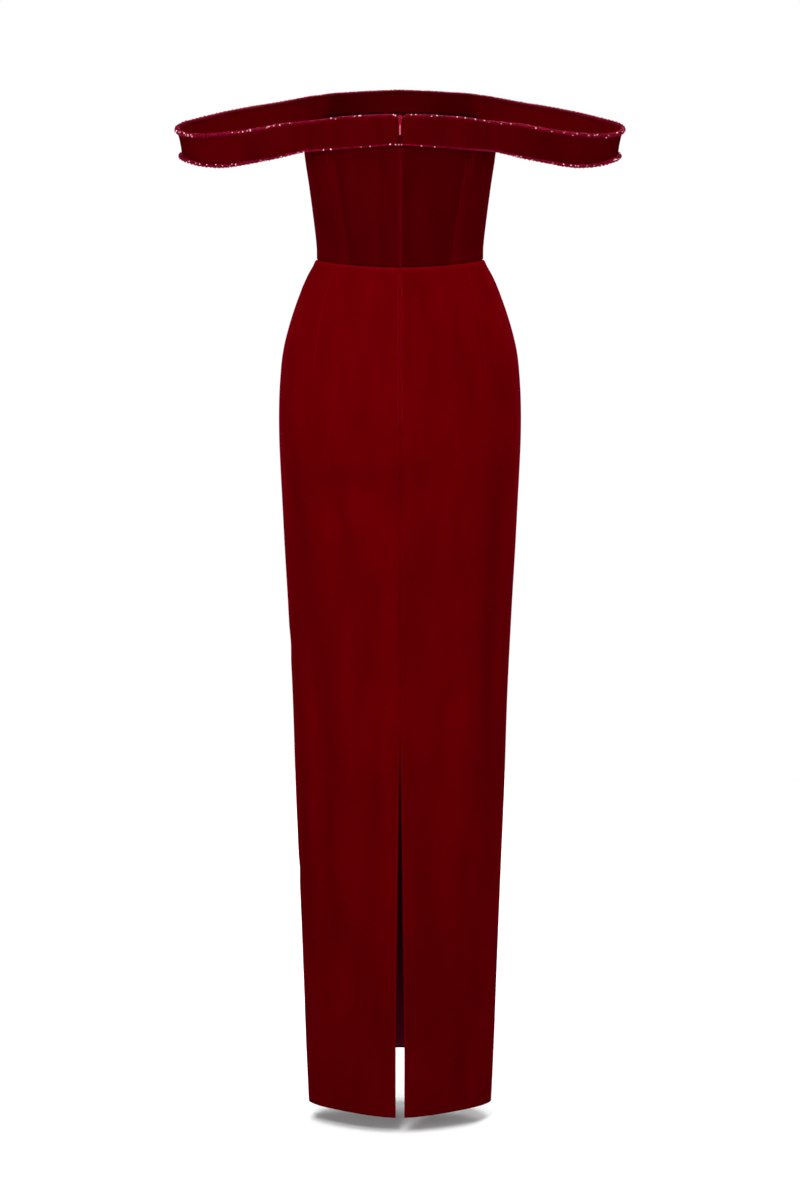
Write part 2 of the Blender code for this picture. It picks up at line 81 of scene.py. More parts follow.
NEARLY_OVAL = 2.15          # the power of a section's outline: 2 is an oval, and more is squarer
Section = namedtuple("Section", "height half back front power_back power_front",
                     defaults=(NEARLY_OVAL, NEARLY_OVAL))
BODICE = [
    Section(0.000, 0.1185, 0.0795, 0.0870), Section(0.0194, 0.1188, 0.0800, 0.0880),
    Section(0.0633, 0.1236, 0.0850, 0.0945), Section(0.1061, 0.1291, 0.0900, 0.1000),
    Section(0.150, 0.1353, 0.0940, 0.1040), Section(0.200, 0.1395, 0.0965, 0.1050),
    Section(0.255, 0.1425, 0.0970, 0.1010),
]
SeamPoint = namedtuple("SeamPoint", "height angle")
BACK_SEAM = [SeamPoint(0.0, 42.5), SeamPoint(0.155, 47.5), SeamPoint(0.25, 49.0)]
FRONT_SEAM = [SeamPoint(0.0, 147.0), SeamPoint(0.10, 142.5), SeamPoint(0.16, 140.0), SeamPoint(0.25, 138.0)]
NeckPoint = namedtuple("NeckPoint", "angle height")
BODICE_TOP = [
    NeckPoint(0, 0.180), NeckPoint(25, 0.1765), NeckPoint(48, 0.1725), NeckPoint(62, 0.166),
    NeckPoint(76, 0.159), NeckPoint(90, 0.157), NeckPoint(102, 0.160), NeckPoint(113, 0.176),
    NeckPoint(122, 0.198), NeckPoint(134, 0.208), NeckPoint(155, 0.2115), NeckPoint(180, 0.213),
]

# Painted sheen: where the pile stands on end its sheen is painted in. A glow is the share of its rim colour,
# within a spread of the line.
SEAM_GLOW = 0.55
SEAM_GLOW_SPREAD = 0.0011
ZIP_GLOW = 0.70
ZIP_GLOW_SPREAD = 0.0018
STITCH_GLOW = 0.45
CHANNEL_GLOW = 0.16
SHADED_TONE = 0.4          # of its colour is left under full painted shade
THREAD_TONE = 0.6           # of the backing's colour is left between its threads
BRUSHED = 34                # streaks to the metre where the pile was brushed down
CRUSHED = 6.5               # and clouds where it was crushed
TUFTS = 1400
THREADS = 900
# the front centre panel is painted evenly darker through the same mark as the painted shade
FRONT_DARKENING = 0.10
# A pile's colours: deep and bright mixed at random, rim the painted sheen along seams and edges, backing the
# wrong side
Pile = namedtuple("Pile", "deep bright rim backing")
# The bodice's pile is the skirt's velvet, painted darker as shade
BODICE_PILE = Pile(deep=(0.043, 0.0, 0.0004), bright=(0.064, 0.0, 0.0008), rim=(0.115, 0.0, 0.0016),
                   backing=(0.036, 0.0002, 0.0016))


class Wire:
    """One socket of a node tree. A sum written with it adds the Math nodes that work it out."""

    def __init__(self, nodes, socket):
        self.nodes, self.socket = nodes, socket

    def __add__(self, other):
        return self.nodes.math("ADD", self, other)

    def __sub__(self, other):
        return self.nodes.math("SUBTRACT", self, other)

    def __rsub__(self, other):
        return self.nodes.math("SUBTRACT", other, self)

    def __mul__(self, other):
        return self.nodes.math("MULTIPLY", self, other)

    __radd__ = __add__
    __rmul__ = __mul__


class Nodes:
    """A node tree, with the shader at its end that the other nodes feed."""

    def __init__(self, tree, shader, even):
        self.tree = tree
        self.shader = tree.nodes[shader]
        for socket, value in even.items():
            self.shader.inputs[socket].default_value = value

    def node(self, kind, output, settings, sockets):
        made = self.tree.nodes.new(kind)
        for setting, value in settings.items():
            setattr(made, setting, value)
        for socket, value in sockets.items():
            self.feed(made.inputs[socket], value)
        return Wire(self, made.outputs[output])

    def feed(self, socket, value):
        if isinstance(value, Wire):
            self.tree.links.new(value.socket, socket)
        else:
            socket.default_value = value

    def vary(self, socket, value):
        self.feed(self.shader.inputs[socket], value)

    def math(self, operation, *values):
        return self.node("ShaderNodeMath", 0, {"operation": operation}, dict(enumerate(values)))


class Finish(Nodes):
    """A material. Its even values are set on the shader, and what varies is fed to it by nodes."""

    def __init__(self, name, even):
        self.material = bpy.data.materials.new(name)
        self.material.use_nodes = True
        super().__init__(self.material.node_tree, "Principled BSDF", even)

    def place(self, scale=(1, 1, 1)):
        """Object coordinates, drawn finer along an axis by its scale."""
        where = self.node("ShaderNodeTexCoord", "Object", {}, {})
        return self.node("ShaderNodeMapping", 0, {}, {"Vector": where, "Scale": scale})

    def mark(self, name):
        """A value laid on the mesh where it was made."""
        return self.node("ShaderNodeAttribute", "Fac", {"attribute_name": name}, {})

    def noise(self, where, scale, detail=2.0):
        return self.node("ShaderNodeTexNoise", 0, {}, {"Vector": where, "Scale": scale, "Detail": detail})

    def mix(self, factor, first, second):
        colours = [value if isinstance(value, Wire) else (*value, 1.0) for value in (first, second)]
        return self.node("ShaderNodeMix", 2, {"data_type": 'RGBA', "clamp_factor": True},
                         {0: factor, 6: colours[0], 7: colours[1]})

    def bump(self, height, depth, strength):
        return self.node("ShaderNodeBump", 0, {}, {"Height": height, "Distance": depth, "Strength": strength})


def dimmed(colour, tone):
    return [tone * part for part in colour]


def velvet(name, pile):
    """Short dense pile: matt, brushed unevenly, with a coloured glow where it is seen edge on."""
    finish = Finish(name, {"Specular IOR Level": 0.0, "Sheen Weight": 0.07, "Sheen Roughness": 0.34,
                           "Sheen Tint": (1.0, 0.0, 0.08, 1.0)})
    brushed = finish.noise(finish.place((1, 1, 0.22)), BRUSHED, 4)
    crushed = finish.noise(finish.place(), CRUSHED, 3)
    tufts = finish.noise(finish.place(), TUFTS, 1)
    tone = 1.7 * brushed + 1.3 * crushed + 0.6 * tufts - 1.3
    # Painted shade: where the mark is laid, the pile's colour is painted darker, down to a share of it
    unshaded_colour = finish.mix(tone, pile.deep, pile.bright)
    shaded_colour = finish.mix(tone, dimmed(pile.deep, SHADED_TONE), dimmed(pile.bright, SHADED_TONE))
    colour = finish.mix(finish.mark("pressed"), unshaded_colour, shaded_colour)
    # Painted sheen: the rim colour is mixed in along the seam mark
    colour = finish.mix(finish.mark("seam"), colour, pile.rim)
    threads = finish.noise(finish.place((1, 1, 0.35)), THREADS, 1)
    backing = finish.mix(threads, dimmed(pile.backing, THREAD_TONE), pile.backing)
    finish.vary("Base Color", finish.mix(finish.mark("wrong_side"), colour, backing))
    finish.vary("Roughness", 0.78 + 0.2 * tufts)
    finish.vary("Normal", finish.bump(tufts + 0.6 * brushed, 0.0006, 0.35))
    return finish.material


def read_table(table, at):
    """The rows of a table joined by smooth curves: every column but the first, at the places asked for."""
    rows = np.array(table if table[0][0] < table[-1][0] else table[::-1], float)
    at = np.clip(np.asarray(at, float), rows[0, 0], rows[-1, 0])
    i = np.clip(np.searchsorted(rows[:, 0], at, side="right") - 1, 0, len(rows) - 2)
    before, here = rows[np.maximum(i - 1, 0)], rows[i]
    there, after = rows[i + 1], rows[np.minimum(i + 2, len(rows) - 1)]
    span = there[..., :1] - here[..., :1]
    t = (at[..., None] - here[..., :1]) / span
    leave = (there - before) / (there[..., :1] - before[..., :1]) * span
    arrive = (after - here) / (after[..., :1] - here[..., :1]) * span
    values = ((2 * t**3 - 3 * t**2 + 1) * here + (t**3 - 2 * t**2 + t) * leave
              + (3 * t**2 - 2 * t**3) * there + (t**3 - t**2) * arrive)
    return np.moveaxis(values, -1, 0)[1:]


def ease(low, high, at):
    """0 up to low, 1 from high on, and a soft step between."""
    t = np.clip((at - low) / (high - low), 0, 1)
    return t * t * (3 - 2 * t)


def hump(middle, spread, at):
    """1 at the middle, fading to nothing over the spread on both sides."""
    return np.exp(-((at - middle) / spread)**2)


def bust(x, y, height):
    """How far the cups push the front out."""
    spread_z = np.where(height > BUST_HEIGHT, BUST_SPREAD_UP, BUST_SPREAD)
    across, up = (abs(x) - BUST_SIDE) / BUST_SPREAD, (height - BUST_HEIGHT) / spread_z
    return BUST_PUSH * ease(0, 1, -y / BUST_FROM) * np.exp(-across**2 - up**2)


def on_body(table, angle, height):
    """Points of the gown's outer surface: height is measured from the waist seam."""
    angle, height = np.broadcast_arrays(angle, height)
    half, back, front, power_back, power_front = read_table(table, height)
    s, c = np.sin(np.radians(angle)), np.cos(np.radians(angle))
    depth, power = np.where(c > 0, back, front), np.where(c > 0, power_back, power_front)
    r = (abs(s)**power + abs(c)**power) ** (-1 / power)
    x, y = half * r * s, depth * r * c
    if table is BODICE:
        y = y - bust(x, y, height)
    seam = WAIST_RISE - WAIST_DIP_BACK * np.maximum(c, 0)**2.2 - WAIST_DIP_FRONT * np.maximum(-c, 0)**1.5
    z = height + seam * np.maximum(0.0, 1 - abs(height) / DIP_REACH)
    return np.stack([x, y, z], -1)


def unit(vectors):
    return vectors / np.linalg.norm(vectors, axis=-1, keepdims=True)


def outward(table, angle, height):
    """The surface's direction, away from the wearer."""
    around = on_body(table, angle + 0.5, height) - on_body(table, angle - 0.5, height)
    up = on_body(table, angle, height + 0.001) - on_body(table, angle, height - 0.001)
    return unit(np.cross(up, around))


def turn(table, angle, height, distance):
    """The change of angle that moves a point by a distance round the body."""
    pace = np.linalg.norm(on_body(table, angle + 0.5, height) - on_body(table, angle - 0.5, height), axis=-1)
    return distance / pace


def front_fold(angle):
    """An angle past the centre front, as the same place on the wearer's other side."""
    return 180 - abs(180 - abs(angle))


def edge_drop(distance):
    """How far the outer face turns in at a distance from its edge."""
    into = 1 - np.clip(distance / EDGE_ROLL, 0, 1)
    return EDGE_ROLL * (1 - np.sqrt(1 - into**2))


def cloth(name, face, direction, drop, thickness, finish, seam=0.0, pressed=0.0, foot=ALLOWANCE):
    """A wall of cloth on a grid of columns and rows, with its outer face turned in at the edges by drop.

    Each point carries a seam mark, a painted sheen on velvet, and a mark of painted shade where the pile's
    colour is painted darker."""
    columns, rows = face.shape[0] - 1, face.shape[1] - 1
    bm = bmesh.new()
    wrong_side = bm.verts.layers.float.new("wrong_side")
    glow, shade_layer = bm.verts.layers.float.new("seam"), bm.verts.layers.float.new("pressed")
    bmesh.ops.create_grid(bm, x_segments=columns, y_segments=rows, size=0.5)
    for part in bmesh.ops.extrude_face_region(bm, geom=bm.faces[:], use_keep_orig=True)["geom"]:
        if isinstance(part, bmesh.types.BMVert):
            part[wrong_side] = 1.0
    outer, inner = face - direction * np.asarray(drop)[..., None], face - direction * thickness
    for side, reach in ((inner, ALLOWANCE), (inner[::-1], ALLOWANCE),
                        (inner.swapaxes(0, 1), ALLOWANCE), (inner.swapaxes(0, 1)[::-1], foot)):
        side[0] += reach * unit(side[0] - side[1])
    seam, pressed = (np.broadcast_to(mark, face.shape[:2]) for mark in (seam, pressed))
    for vertex in bm.verts:
        at = round((vertex.co.x + 0.5) * columns), round((vertex.co.y + 0.5) * rows)
        vertex.co = inner[at] if vertex[wrong_side] else outer[at]
        vertex[glow], vertex[shade_layer] = seam[at], pressed[at]
    bmesh.ops.recalc_face_normals(bm, faces=bm.faces[:])
    if bm.calc_volume(signed=True) < 0:
        bmesh.ops.reverse_faces(bm, faces=bm.faces[:])
    return finished(name, bm, finish)


def finished(name, bm, finish):
    """A bmesh as one smooth piece in the scene."""
    mesh = bpy.data.meshes.new(name)
    bm.to_mesh(mesh)
    bm.free()
    mesh.shade_smooth()
    mesh.materials.append(finish)
    piece = bpy.data.objects.new(name, mesh)
    bpy.context.scene.collection.objects.link(piece)
    return piece


def cut_from(face):
    """The cross products of a grid's diagonals, worked out and not used."""
    crossed = np.cross(face[1:, 1:] - face[:-1, :-1], face[1:, :-1] - face[:-1, 1:])


def spread(fine_first, fine_last, count):
    """Lines across a piece: close together by its first and last edges, evenly spaced between.

    Gives for each line its distance from the first edge, from the last, and its share of the way."""
    first = [(d, 0.0, 0.0) for d in fine_first]
    middle = [(fine_first[-1], fine_last[-1], n / count) for n in range(1, count)]
    last = [(0.0, d, 1.0) for d in reversed(fine_last)]
    return np.array(first + middle + last)


Strip = namedtuple("Strip", "left right fine_left fine_right count")
SETTLING_ROUNDS = 4         # angles and heights of a piece's grid depend on each other


def panel_grid(table, strips, top, bottom, rows):
    """Angles and heights of a cut piece's grid, and how far each point is round from every strip's lines.

    A strip's lines are functions of height, and top and bottom are functions of angle."""
    height = np.zeros((1, 1))
    down_first, down_last, down = rows.T
    for _ in range(SETTLING_ROUNDS):
        angles = []
        for n, strip in enumerate(strips):
            columns = spread(strip.fine_left, strip.fine_right, strip.count)[n > 0:]
            past_left, before_right, share = columns.T[:, :, None]
            at = height if len(height) == 1 else height[sum(map(len, angles)):][:len(share)]
            left, right = strip.left(at), strip.right(at)
            left = left + turn(table, left, at, past_left)
            right = right - turn(table, right, at, before_right)
            angles.append(left * (1 - share) + right * share)
        angle = np.concatenate(angles)
        high, low = top(angle), bottom(angle)
        height = (high - down_first) * (1 - down) + (low + down_last) * down
    lines = [strip.left for strip in strips] + [strips[-1].right]
    gaps = [(angle - line(height)) / turn(table, angle, height, 1.0) for line in lines]
    return angle, height, gaps


def seam_line(table, seam, side, gap_side):
    def line(height):
        angle = side * read_table(seam, height)[0]
        return angle + gap_side * turn(table, angle, height, SEAM_GAP / 2)
    return line


def side_line(table, side, gap_side):
    return lambda height: side * 90 + gap_side * turn(table, side * 90.0, height, SEAM_GAP / 2)


def zip_line(table, side):
    return lambda height: side * turn(table, 0.0, height, ZIP_HALF_GAP)


def past_front(line):
    """A line of the wearer's right side, for a piece that starts on the left and crosses the front."""
    return lambda height: 360 + line(height)


def turned(side, strips):
    """A piece's strips, turned round on the wearer's right side so that angles grow."""
    if side > 0:
        return strips
    return [Strip(s.right, s.left, s.fine_right, s.fine_left, s.count) for s in reversed(strips)]


def bodice_top(angle):
    return read_table(BODICE_TOP, front_fold(angle))[0]


def bodice_foot(angle):
    return np.full_like(angle, SEAM_GAP / 2)


def bodice_panel(node, strips, pressed, channel_line=None, zip_side=None):
    rows = spread(EDGE_COLUMNS, EDGE_COLUMNS, 44)
    angle, height, gaps = panel_grid(BODICE, strips, bodice_top, bodice_foot, rows)
    side_gap = np.minimum(gaps[0], -gaps[-1])
    foot_gap = height - SEAM_GAP / 2
    rise = -STITCH_SINK * np.exp(-foot_gap / FOOT_SPREAD)
    seam = SEAM_GLOW * hump(0, SEAM_GLOW_SPREAD, side_gap)
    if zip_side is not None:
        seam = np.maximum(seam, ZIP_GLOW * hump(0, ZIP_GLOW_SPREAD, gaps[zip_side]))
    if channel_line is not None:
        across = abs(gaps[channel_line])
        raised = 1 - ease(CHANNEL_TOP - CHANNEL_FADE, CHANNEL_TOP, height)
        ridge = ease(0, CHANNEL_SHOULDER, across)
        ridge = ridge - ease(CHANNEL_WIDTH - CHANNEL_SHOULDER, CHANNEL_WIDTH, across)
        stitched = hump(CHANNEL_WIDTH, STITCH_SPREAD, across)
        rise = rise + raised * (CHANNEL_RISE * ridge - STITCH_SINK * stitched)
        seam = np.maximum(seam, raised * np.maximum(STITCH_GLOW * stitched, CHANNEL_GLOW * ridge))
    direction = outward(BODICE, angle, height)
    face = on_body(BODICE, angle, height) + direction * rise[..., None]
    drop = edge_drop(np.minimum(side_gap, np.minimum(foot_gap, bodice_top(angle) - height)))
    piece = cloth(node + "_velvet", face, direction, drop, CLOTH, bodice_velvet, seam, pressed,
                  WAIST_ALLOWANCE)
    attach(piece, "gown")
    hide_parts(node)
    cut_from(face)


bodice_velvet = velvet("bodice_velvet_pile", BODICE_PILE)
# Painted shade: the panels on the wearer's right are painted darker than those on the left, the back centre
# panels darker than the side ones
BodiceSide = namedtuple("BodiceSide", "side word pressed_back pressed_side")
for side, word, painted_shade_back, painted_shade_side in (BodiceSide(1, "left", 0.18, 0.0),
                                               BodiceSide(-1, "right", 0.34, 0.15)):
    to_back_seam, from_back_seam = (seam_line(BODICE, BACK_SEAM, side, turning) for turning in (-side, side))
    to_side_seam, from_side_seam = (side_line(BODICE, side, turning) for turning in (-side, side))
    from_zip, to_front_seam = zip_line(BODICE, side), seam_line(BODICE, FRONT_SEAM, side, -side)
    channel_edge = 1 if side > 0 else 0
    bodice_panel("bodice_back_centre_" + word,
                 turned(side, [Strip(from_zip, to_back_seam, EDGE_COLUMNS, CHANNEL_COLUMNS, 18)]),
                 painted_shade_back, channel_edge, 1 - channel_edge)
    bodice_panel("bodice_back_side_" + word,
                 turned(side, [Strip(from_back_seam, to_side_seam, EDGE_COLUMNS, EDGE_COLUMNS, 22)]),
                 painted_shade_side)
    bodice_panel("bodice_front_side_" + word,
                 turned(side, [Strip(from_side_seam, to_front_seam, EDGE_COLUMNS, EDGE_COLUMNS, 34)]),
                 painted_shade_side)
front_seams = seam_line(BODICE, FRONT_SEAM, 1, 1), past_front(seam_line(BODICE, FRONT_SEAM, -1, -1))
bodice_panel("bodice_front_centre", [Strip(*front_seams, EDGE_COLUMNS, EDGE_COLUMNS, 44)], FRONT_DARKENING)


# The skirt: two back panels and one front, each with waist darts, cut long and narrow in the same velvet
# with the pile running down. It is sewn to the bodice in a rounded waist seam. The back panels meet in
# the zip, then in a plain seam, then part in a slit, and all hems are turned up by hand.

HEM = -1.2385
HEM_RISE_FRONT = 0.052
HEM_DROP_BACK = 0.0035
ZIP_END = -0.231
SLIT_TOP = -0.625
WAIST_ROLL = 0.0010         # the skirt's top edge stands proud in a soft roll
WAIST_ROLL_DOWN = 0.0026
WAIST_ROLL_SPREAD = 0.0020
DART_SINK = 0.0009
DART_FADE = 0.05
HEM_DEPTH = 0.030

SKIRT = [
    Section(0.000, 0.1185, 0.0795, 0.0870), Section(-0.0225, 0.1318, 0.0905, 0.0940),
    Section(-0.0431, 0.1411, 0.0985, 0.0990, 2.18), Section(-0.0853, 0.1563, 0.1095, 0.1045, 2.20),
    Section(-0.1275, 0.1672, 0.1165, 0.1080, 2.20), Section(-0.170, 0.1718, 0.1205, 0.1095, 2.20),
    Section(-0.212, 0.1736, 0.1225, 0.1100, 2.20), Section(-0.255, 0.1734, 0.1205, 0.1100, 2.20),
    Section(-0.298, 0.1718, 0.1155, 0.1095, 2.15, 2.10),
    Section(-0.340, 0.1698, 0.1090, 0.1090, 2.10, 2.10),
    Section(-0.408, 0.1667, 0.1010, 0.1085, 2.05, 2.05),
    Section(-0.495, 0.1621, 0.0950, 0.1075, 2.00, 2.00),
    Section(-0.625, 0.1563, 0.0885, 0.1060, 1.90, 1.95),
    Section(-0.760, 0.1526, 0.0840, 0.1045, 1.78, 1.90),
    Section(-0.900, 0.1474, 0.0800, 0.1030, 1.70, 1.90),
    Section(-1.040, 0.1425, 0.0765, 0.1015, 1.64, 1.90),
    Section(-1.150, 0.1390, 0.0740, 0.1005, 1.60, 1.90),
    Section(-1.260, 0.1345, 0.0715, 0.0995, 1.58, 1.90),
]
Opening = namedtuple("Opening", "height half_gap")
SLIT = [
    Opening(SLIT_TOP, SEAM_GAP / 2), Opening(-0.707, 0.0010), Opening(-0.920, 0.0042),
    Opening(-1.100, 0.0065), Opening(-1.300, 0.0067),
]
BACK_DART = [SeamPoint(-0.165, 42.5), SeamPoint(0.0, 47.5)]
FRONT_DART = [SeamPoint(-0.125, 139.0), SeamPoint(0.0, 143.0)]

# A soft fold of hanging cloth runs from its top to its bottom, drifting from one angle to another.
Fold = namedtuple("Fold", "angle_top angle_bottom top bottom width depth")
FOLDS = [
    Fold(-50, -64, -0.150, -0.980, 9.0, -0.0050), Fold(-48, -62, -0.120, -0.560, 6.5, -0.0030),
    Fold(-68, -74, -0.150, -0.430, 6.0, 0.0016), Fold(-26, -32, -0.340, -1.150, 10.0, 0.0018),
    Fold(-74, -76, -0.330, -0.950, 7.0, -0.0020), Fold(60, 56, -0.190, -0.630, 10.0, -0.0046),
    Fold(61, 60, -0.455, -0.600, 1.6, -0.0008), Fold(64, 62, -0.560, -0.700, 3.0, 0.0010),
    Fold(42, 48, -0.280, -1.100, 8.0, -0.0030), Fold(6, 8, -0.560, -0.860, 3.4, 0.0016),
    Fold(70, 75, -0.250, -1.230, 8.0, -0.0038), Fold(16, 20, -0.620, -1.200, 6.0, -0.0010),
    Fold(-14, -12, -0.640, -1.200, 7.0, -0.0008),
    Fold(88, 91, -0.520, -0.580, 9.0, -0.0010), Fold(86, 92, -0.860, -0.910, 9.0, -0.0008),
    Fold(112, 118, -0.260, -1.000, 9.0, -0.0020), Fold(150, 146, -0.420, -1.150, 11.0, 0.0016),
    Fold(181, 184, -0.500, -1.180, 12.0, -0.0018), Fold(214, 210, -0.400, -1.150, 10.0, 0.0015),
    Fold(246, 240, -0.280, -1.050, 9.0, -0.0018),
]
FOLDS_START = 0.02, 0.10    # below the waist, where the cloth is free of it
SEAT_CREASE = -0.300        # the cloth dips a little under the seat
SEAT_CREASE_DEPTH = 0.0026
SEAT_CREASE_SPREAD = 0.016
SEAT_CREASE_ANGLE = 20
SEAT_CREASE_ARC = 32
PUCKER = 0.00035            # the zip's stitches pucker the cloth beside it
PUCKER_LENGTH = 0.0135
PUCKER_REACH = 0.006
HEM_STITCH_SINK = 0.0003
HEM_STITCH_SPREAD = 0.002

# an even darkening of the whole skirt, laid in the same mark as the painted shade
SKIRT_DARKENING = 0.05
FOLD_SHADING = 72           # painted shade in a fold's trough and painted highlight on its crest, for each metre of its depth
HEM_SHADE = 0.52          # painted shade, deepening towards the hem
HEM_SHADE_FROM = 0.25     # below the waist
HEM_SHADE_TO = 1.3
RIGHT_SHADE = 0.09        # and a little painted shade over the wearer's right
RIGHT_SHADE_FADE = 0.02
# Painted sheen along the skirt's seams, waist roll, darts and zip
SKIRT_SEAM_GLOW = 0.62
WAIST_GLOW = 0.60
WAIST_GLOW_DOWN = 0.0018
DART_GLOW = 0.38
DART_GLOW_SPREAD = 0.0012
DART_SPREAD = 0.0022
ZIP_SEAM_GLOW = 0.95
ZIP_SEAM_GLOW_SPREAD = 0.0016
CLOSED_SEAM_DULLED = 0.75   # of its glow is lost where the centre back seam is closed
CLOSED_SEAM_SPREAD = 0.004
CLOSED_SEAM_FADE = 0.02

SKIRT_PILE = Pile(deep=(0.077, 0.0, 0.0007), bright=(0.106, 0.0, 0.0011), rim=(0.150, 0.0, 0.0022),
                  backing=(0.040, 0.0002, 0.0022))


def skirt_top(angle):
    return np.full_like(angle, -SEAM_GAP / 2)


def hem_height(angle):
    c = np.cos(np.radians(angle))
    return HEM + HEM_RISE_FRONT * np.maximum(-c, 0)**1.4 - HEM_DROP_BACK * np.maximum(c, 0)**6


def centre_back_line(side):
    """The zip's edge, then the closed seam, then the slit."""
    def line(height):
        half_gap = np.where(height > ZIP_END, ZIP_HALF_GAP, SEAM_GAP / 2)
        half_gap = np.where(height > SLIT_TOP, half_gap, read_table(SLIT, height)[0])
        return side * turn(SKIRT, 0.0, height, half_gap)
    return line


def hanging_folds(angle, height):
    rise = -SEAT_CREASE_DEPTH * hump(SEAT_CREASE, SEAT_CREASE_SPREAD, height)
    rise = rise * hump(SEAT_CREASE_ANGLE, SEAT_CREASE_ARC, angle)
    for fold in FOLDS:
        down = (fold.top - height) / (fold.top - fold.bottom)
        middle = fold.angle_top + (fold.angle_bottom - fold.angle_top) * down
        fades = ease(0, 0.5, down) * ease(0, 0.5, 1 - down)
        rise = rise + fold.depth * fades * hump(middle, fold.width, angle)
    return rise


def skirt_panel(node, strips, dart, dart_lines, zip_side, count):
    rows = spread(EDGE_COLUMNS, EDGE_COLUMNS + [0.008, 0.014], count)
    angle, height, gaps = panel_grid(SKIRT, strips, skirt_top, hem_height, rows)
    side_gap = np.minimum(gaps[0], -gaps[-1])
    top_gap, hem_gap = -SEAM_GAP / 2 - height, height - hem_height(angle)
    rise = hanging_folds(angle, height) * ease(*FOLDS_START, top_gap)
    # Painted shade: an even darkening, deeper towards the hem, in the folds' troughs and over the wearer's
    # right, lighter on the crests
    pressed = SKIRT_DARKENING + HEM_SHADE * ease(HEM_SHADE_FROM, HEM_SHADE_TO, top_gap)
    pressed = pressed - FOLD_SHADING * rise
    to_right = -on_body(SKIRT, angle, height)[..., 0]
    pressed = pressed + RIGHT_SHADE * ease(-RIGHT_SHADE_FADE, RIGHT_SHADE_FADE, to_right)
    rise = rise + WAIST_ROLL * hump(WAIST_ROLL_DOWN, WAIST_ROLL_SPREAD, top_gap)
    rise = rise - HEM_STITCH_SINK * hump(HEM_DEPTH, HEM_STITCH_SPREAD, hem_gap)
    seam = np.maximum(SKIRT_SEAM_GLOW * hump(0, SEAM_GLOW_SPREAD, side_gap),
                      WAIST_GLOW * hump(WAIST_GLOW_DOWN, WAIST_GLOW_DOWN, top_gap))
    for k in dart_lines:
        strength = ease(0, DART_FADE, height - dart[0].height)
        rise = rise - DART_SINK * strength * hump(0, DART_SPREAD, gaps[k])
        seam = np.maximum(seam, DART_GLOW * strength * hump(0, DART_GLOW_SPREAD, gaps[k]))
    if zip_side is not None:
        across = abs(gaps[zip_side])
        zipped = ease(ZIP_END, ZIP_END + CLOSED_SEAM_FADE, height)
        seam = np.maximum(seam, ZIP_SEAM_GLOW * zipped * hump(0, ZIP_SEAM_GLOW_SPREAD, across))
        wave = np.sin(height * 2 * math.pi / PUCKER_LENGTH)
        rise = rise + PUCKER * wave * zipped * hump(0, PUCKER_REACH, across)
        closed = (1 - zipped) * ease(SLIT_TOP - CLOSED_SEAM_FADE, SLIT_TOP, height)
        seam = seam * (1 - CLOSED_SEAM_DULLED * closed * hump(0, CLOSED_SEAM_SPREAD, across))
    direction = outward(SKIRT, angle, height)
    face = on_body(SKIRT, angle, height) + direction * rise[..., None]
    drop = edge_drop(np.minimum(side_gap, np.minimum(top_gap, hem_gap)))
    piece = cloth(node + "_velvet", face, direction, drop, CLOTH, skirt_velvet, seam, np.clip(pressed, 0, 1))
    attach(piece, "gown")
    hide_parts(node)
    cut_from(face)


skirt_velvet = velvet("skirt_velvet_pile", SKIRT_PILE)
DART_COLUMNS = [0.0, 0.0006, 0.0012, 0.0019, 0.0028, 0.0040]
for side, word in ((1, "left"), (-1, "right")):
    dart_seam = seam_line(SKIRT, BACK_DART, side, 0.0)
    strips = [Strip(centre_back_line(side), dart_seam, EDGE_COLUMNS + [0.006], DART_COLUMNS, 24),
              Strip(dart_seam, side_line(SKIRT, side, -side), DART_COLUMNS, EDGE_COLUMNS, 32)]
    skirt_panel("skirt_back_" + word, turned(side, strips), BACK_DART, (1,), 0 if side > 0 else 2, 200)
left_dart = seam_line(SKIRT, FRONT_DART, 1, 0.0)
right_dart = past_front(seam_line(SKIRT, FRONT_DART, -1, 0.0))
strips = [Strip(side_line(SKIRT, 1, 1), left_dart, EDGE_COLUMNS, DART_COLUMNS, 28),
          Strip(left_dart, right_dart, DART_COLUMNS, DART_COLUMNS, 32),
          Strip(right_dart, past_front(side_line(SKIRT, -1, -1)), DART_COLUMNS, EDGE_COLUMNS, 28)]
skirt_panel("skirt_front", strips, FRONT_DART, (1, 2), None, 190)


# The front lining: one piece of burgundy satin hung inside the front of the skirt, a little shorter than
# the velvet, with a narrow machined hem. It shows through the slit and below the raised front hem.

LINING_CLOTH = 0.0010
LINING_TOP = -0.56
LINING_HEM_UP = 0.004
LINING_START = 96.0         # just past the side seam
LINING_CLEAR = CLOTH + SEAM_GAP + 0.0002
LINING_HEM_DEPTH = 0.012
LINING_HEM_SINK = 0.0004
LINING_STITCH_SPREAD = 0.001
LINING_HEM_SHADE = 0.8      # the share of the stitches' colour along the hem's line
LINING_HEM_SPREAD = 0.0014
LINING_RIPPLE = 0.0014
LINING_DEEP, LINING_BRIGHT = (0.120, 0.0002, 0.011), (0.200, 0.0005, 0.020)
LINING_STITCH = (0.035, 0.001, 0.007)


def lining_satin():
    """Close, shiny satin threads that run down the piece, in a deep burgundy."""
    finish = Finish("lining_satin_threads", {"Specular IOR Level": 0.04, "Sheen Weight": 0.06,
                                             "Sheen Tint": (1.0, 0.02, 0.12, 1.0), "Sheen Roughness": 0.30})
    threads = finish.noise(finish.place((1, 1, 0.04)), 700, 2)
    cloudy = finish.noise(finish.place((1, 1, 0.3)), 18, 3)
    colour = finish.mix(0.6 * threads + 0.6 * cloudy - 0.1, LINING_DEEP, LINING_BRIGHT)
    finish.vary("Base Color", finish.mix(finish.mark("seam"), colour, LINING_STITCH))
    finish.vary("Roughness", 0.36 + 0.16 * threads)
    finish.vary("Normal", finish.bump(threads + cloudy, 0.0004, 0.25))
    return finish.material


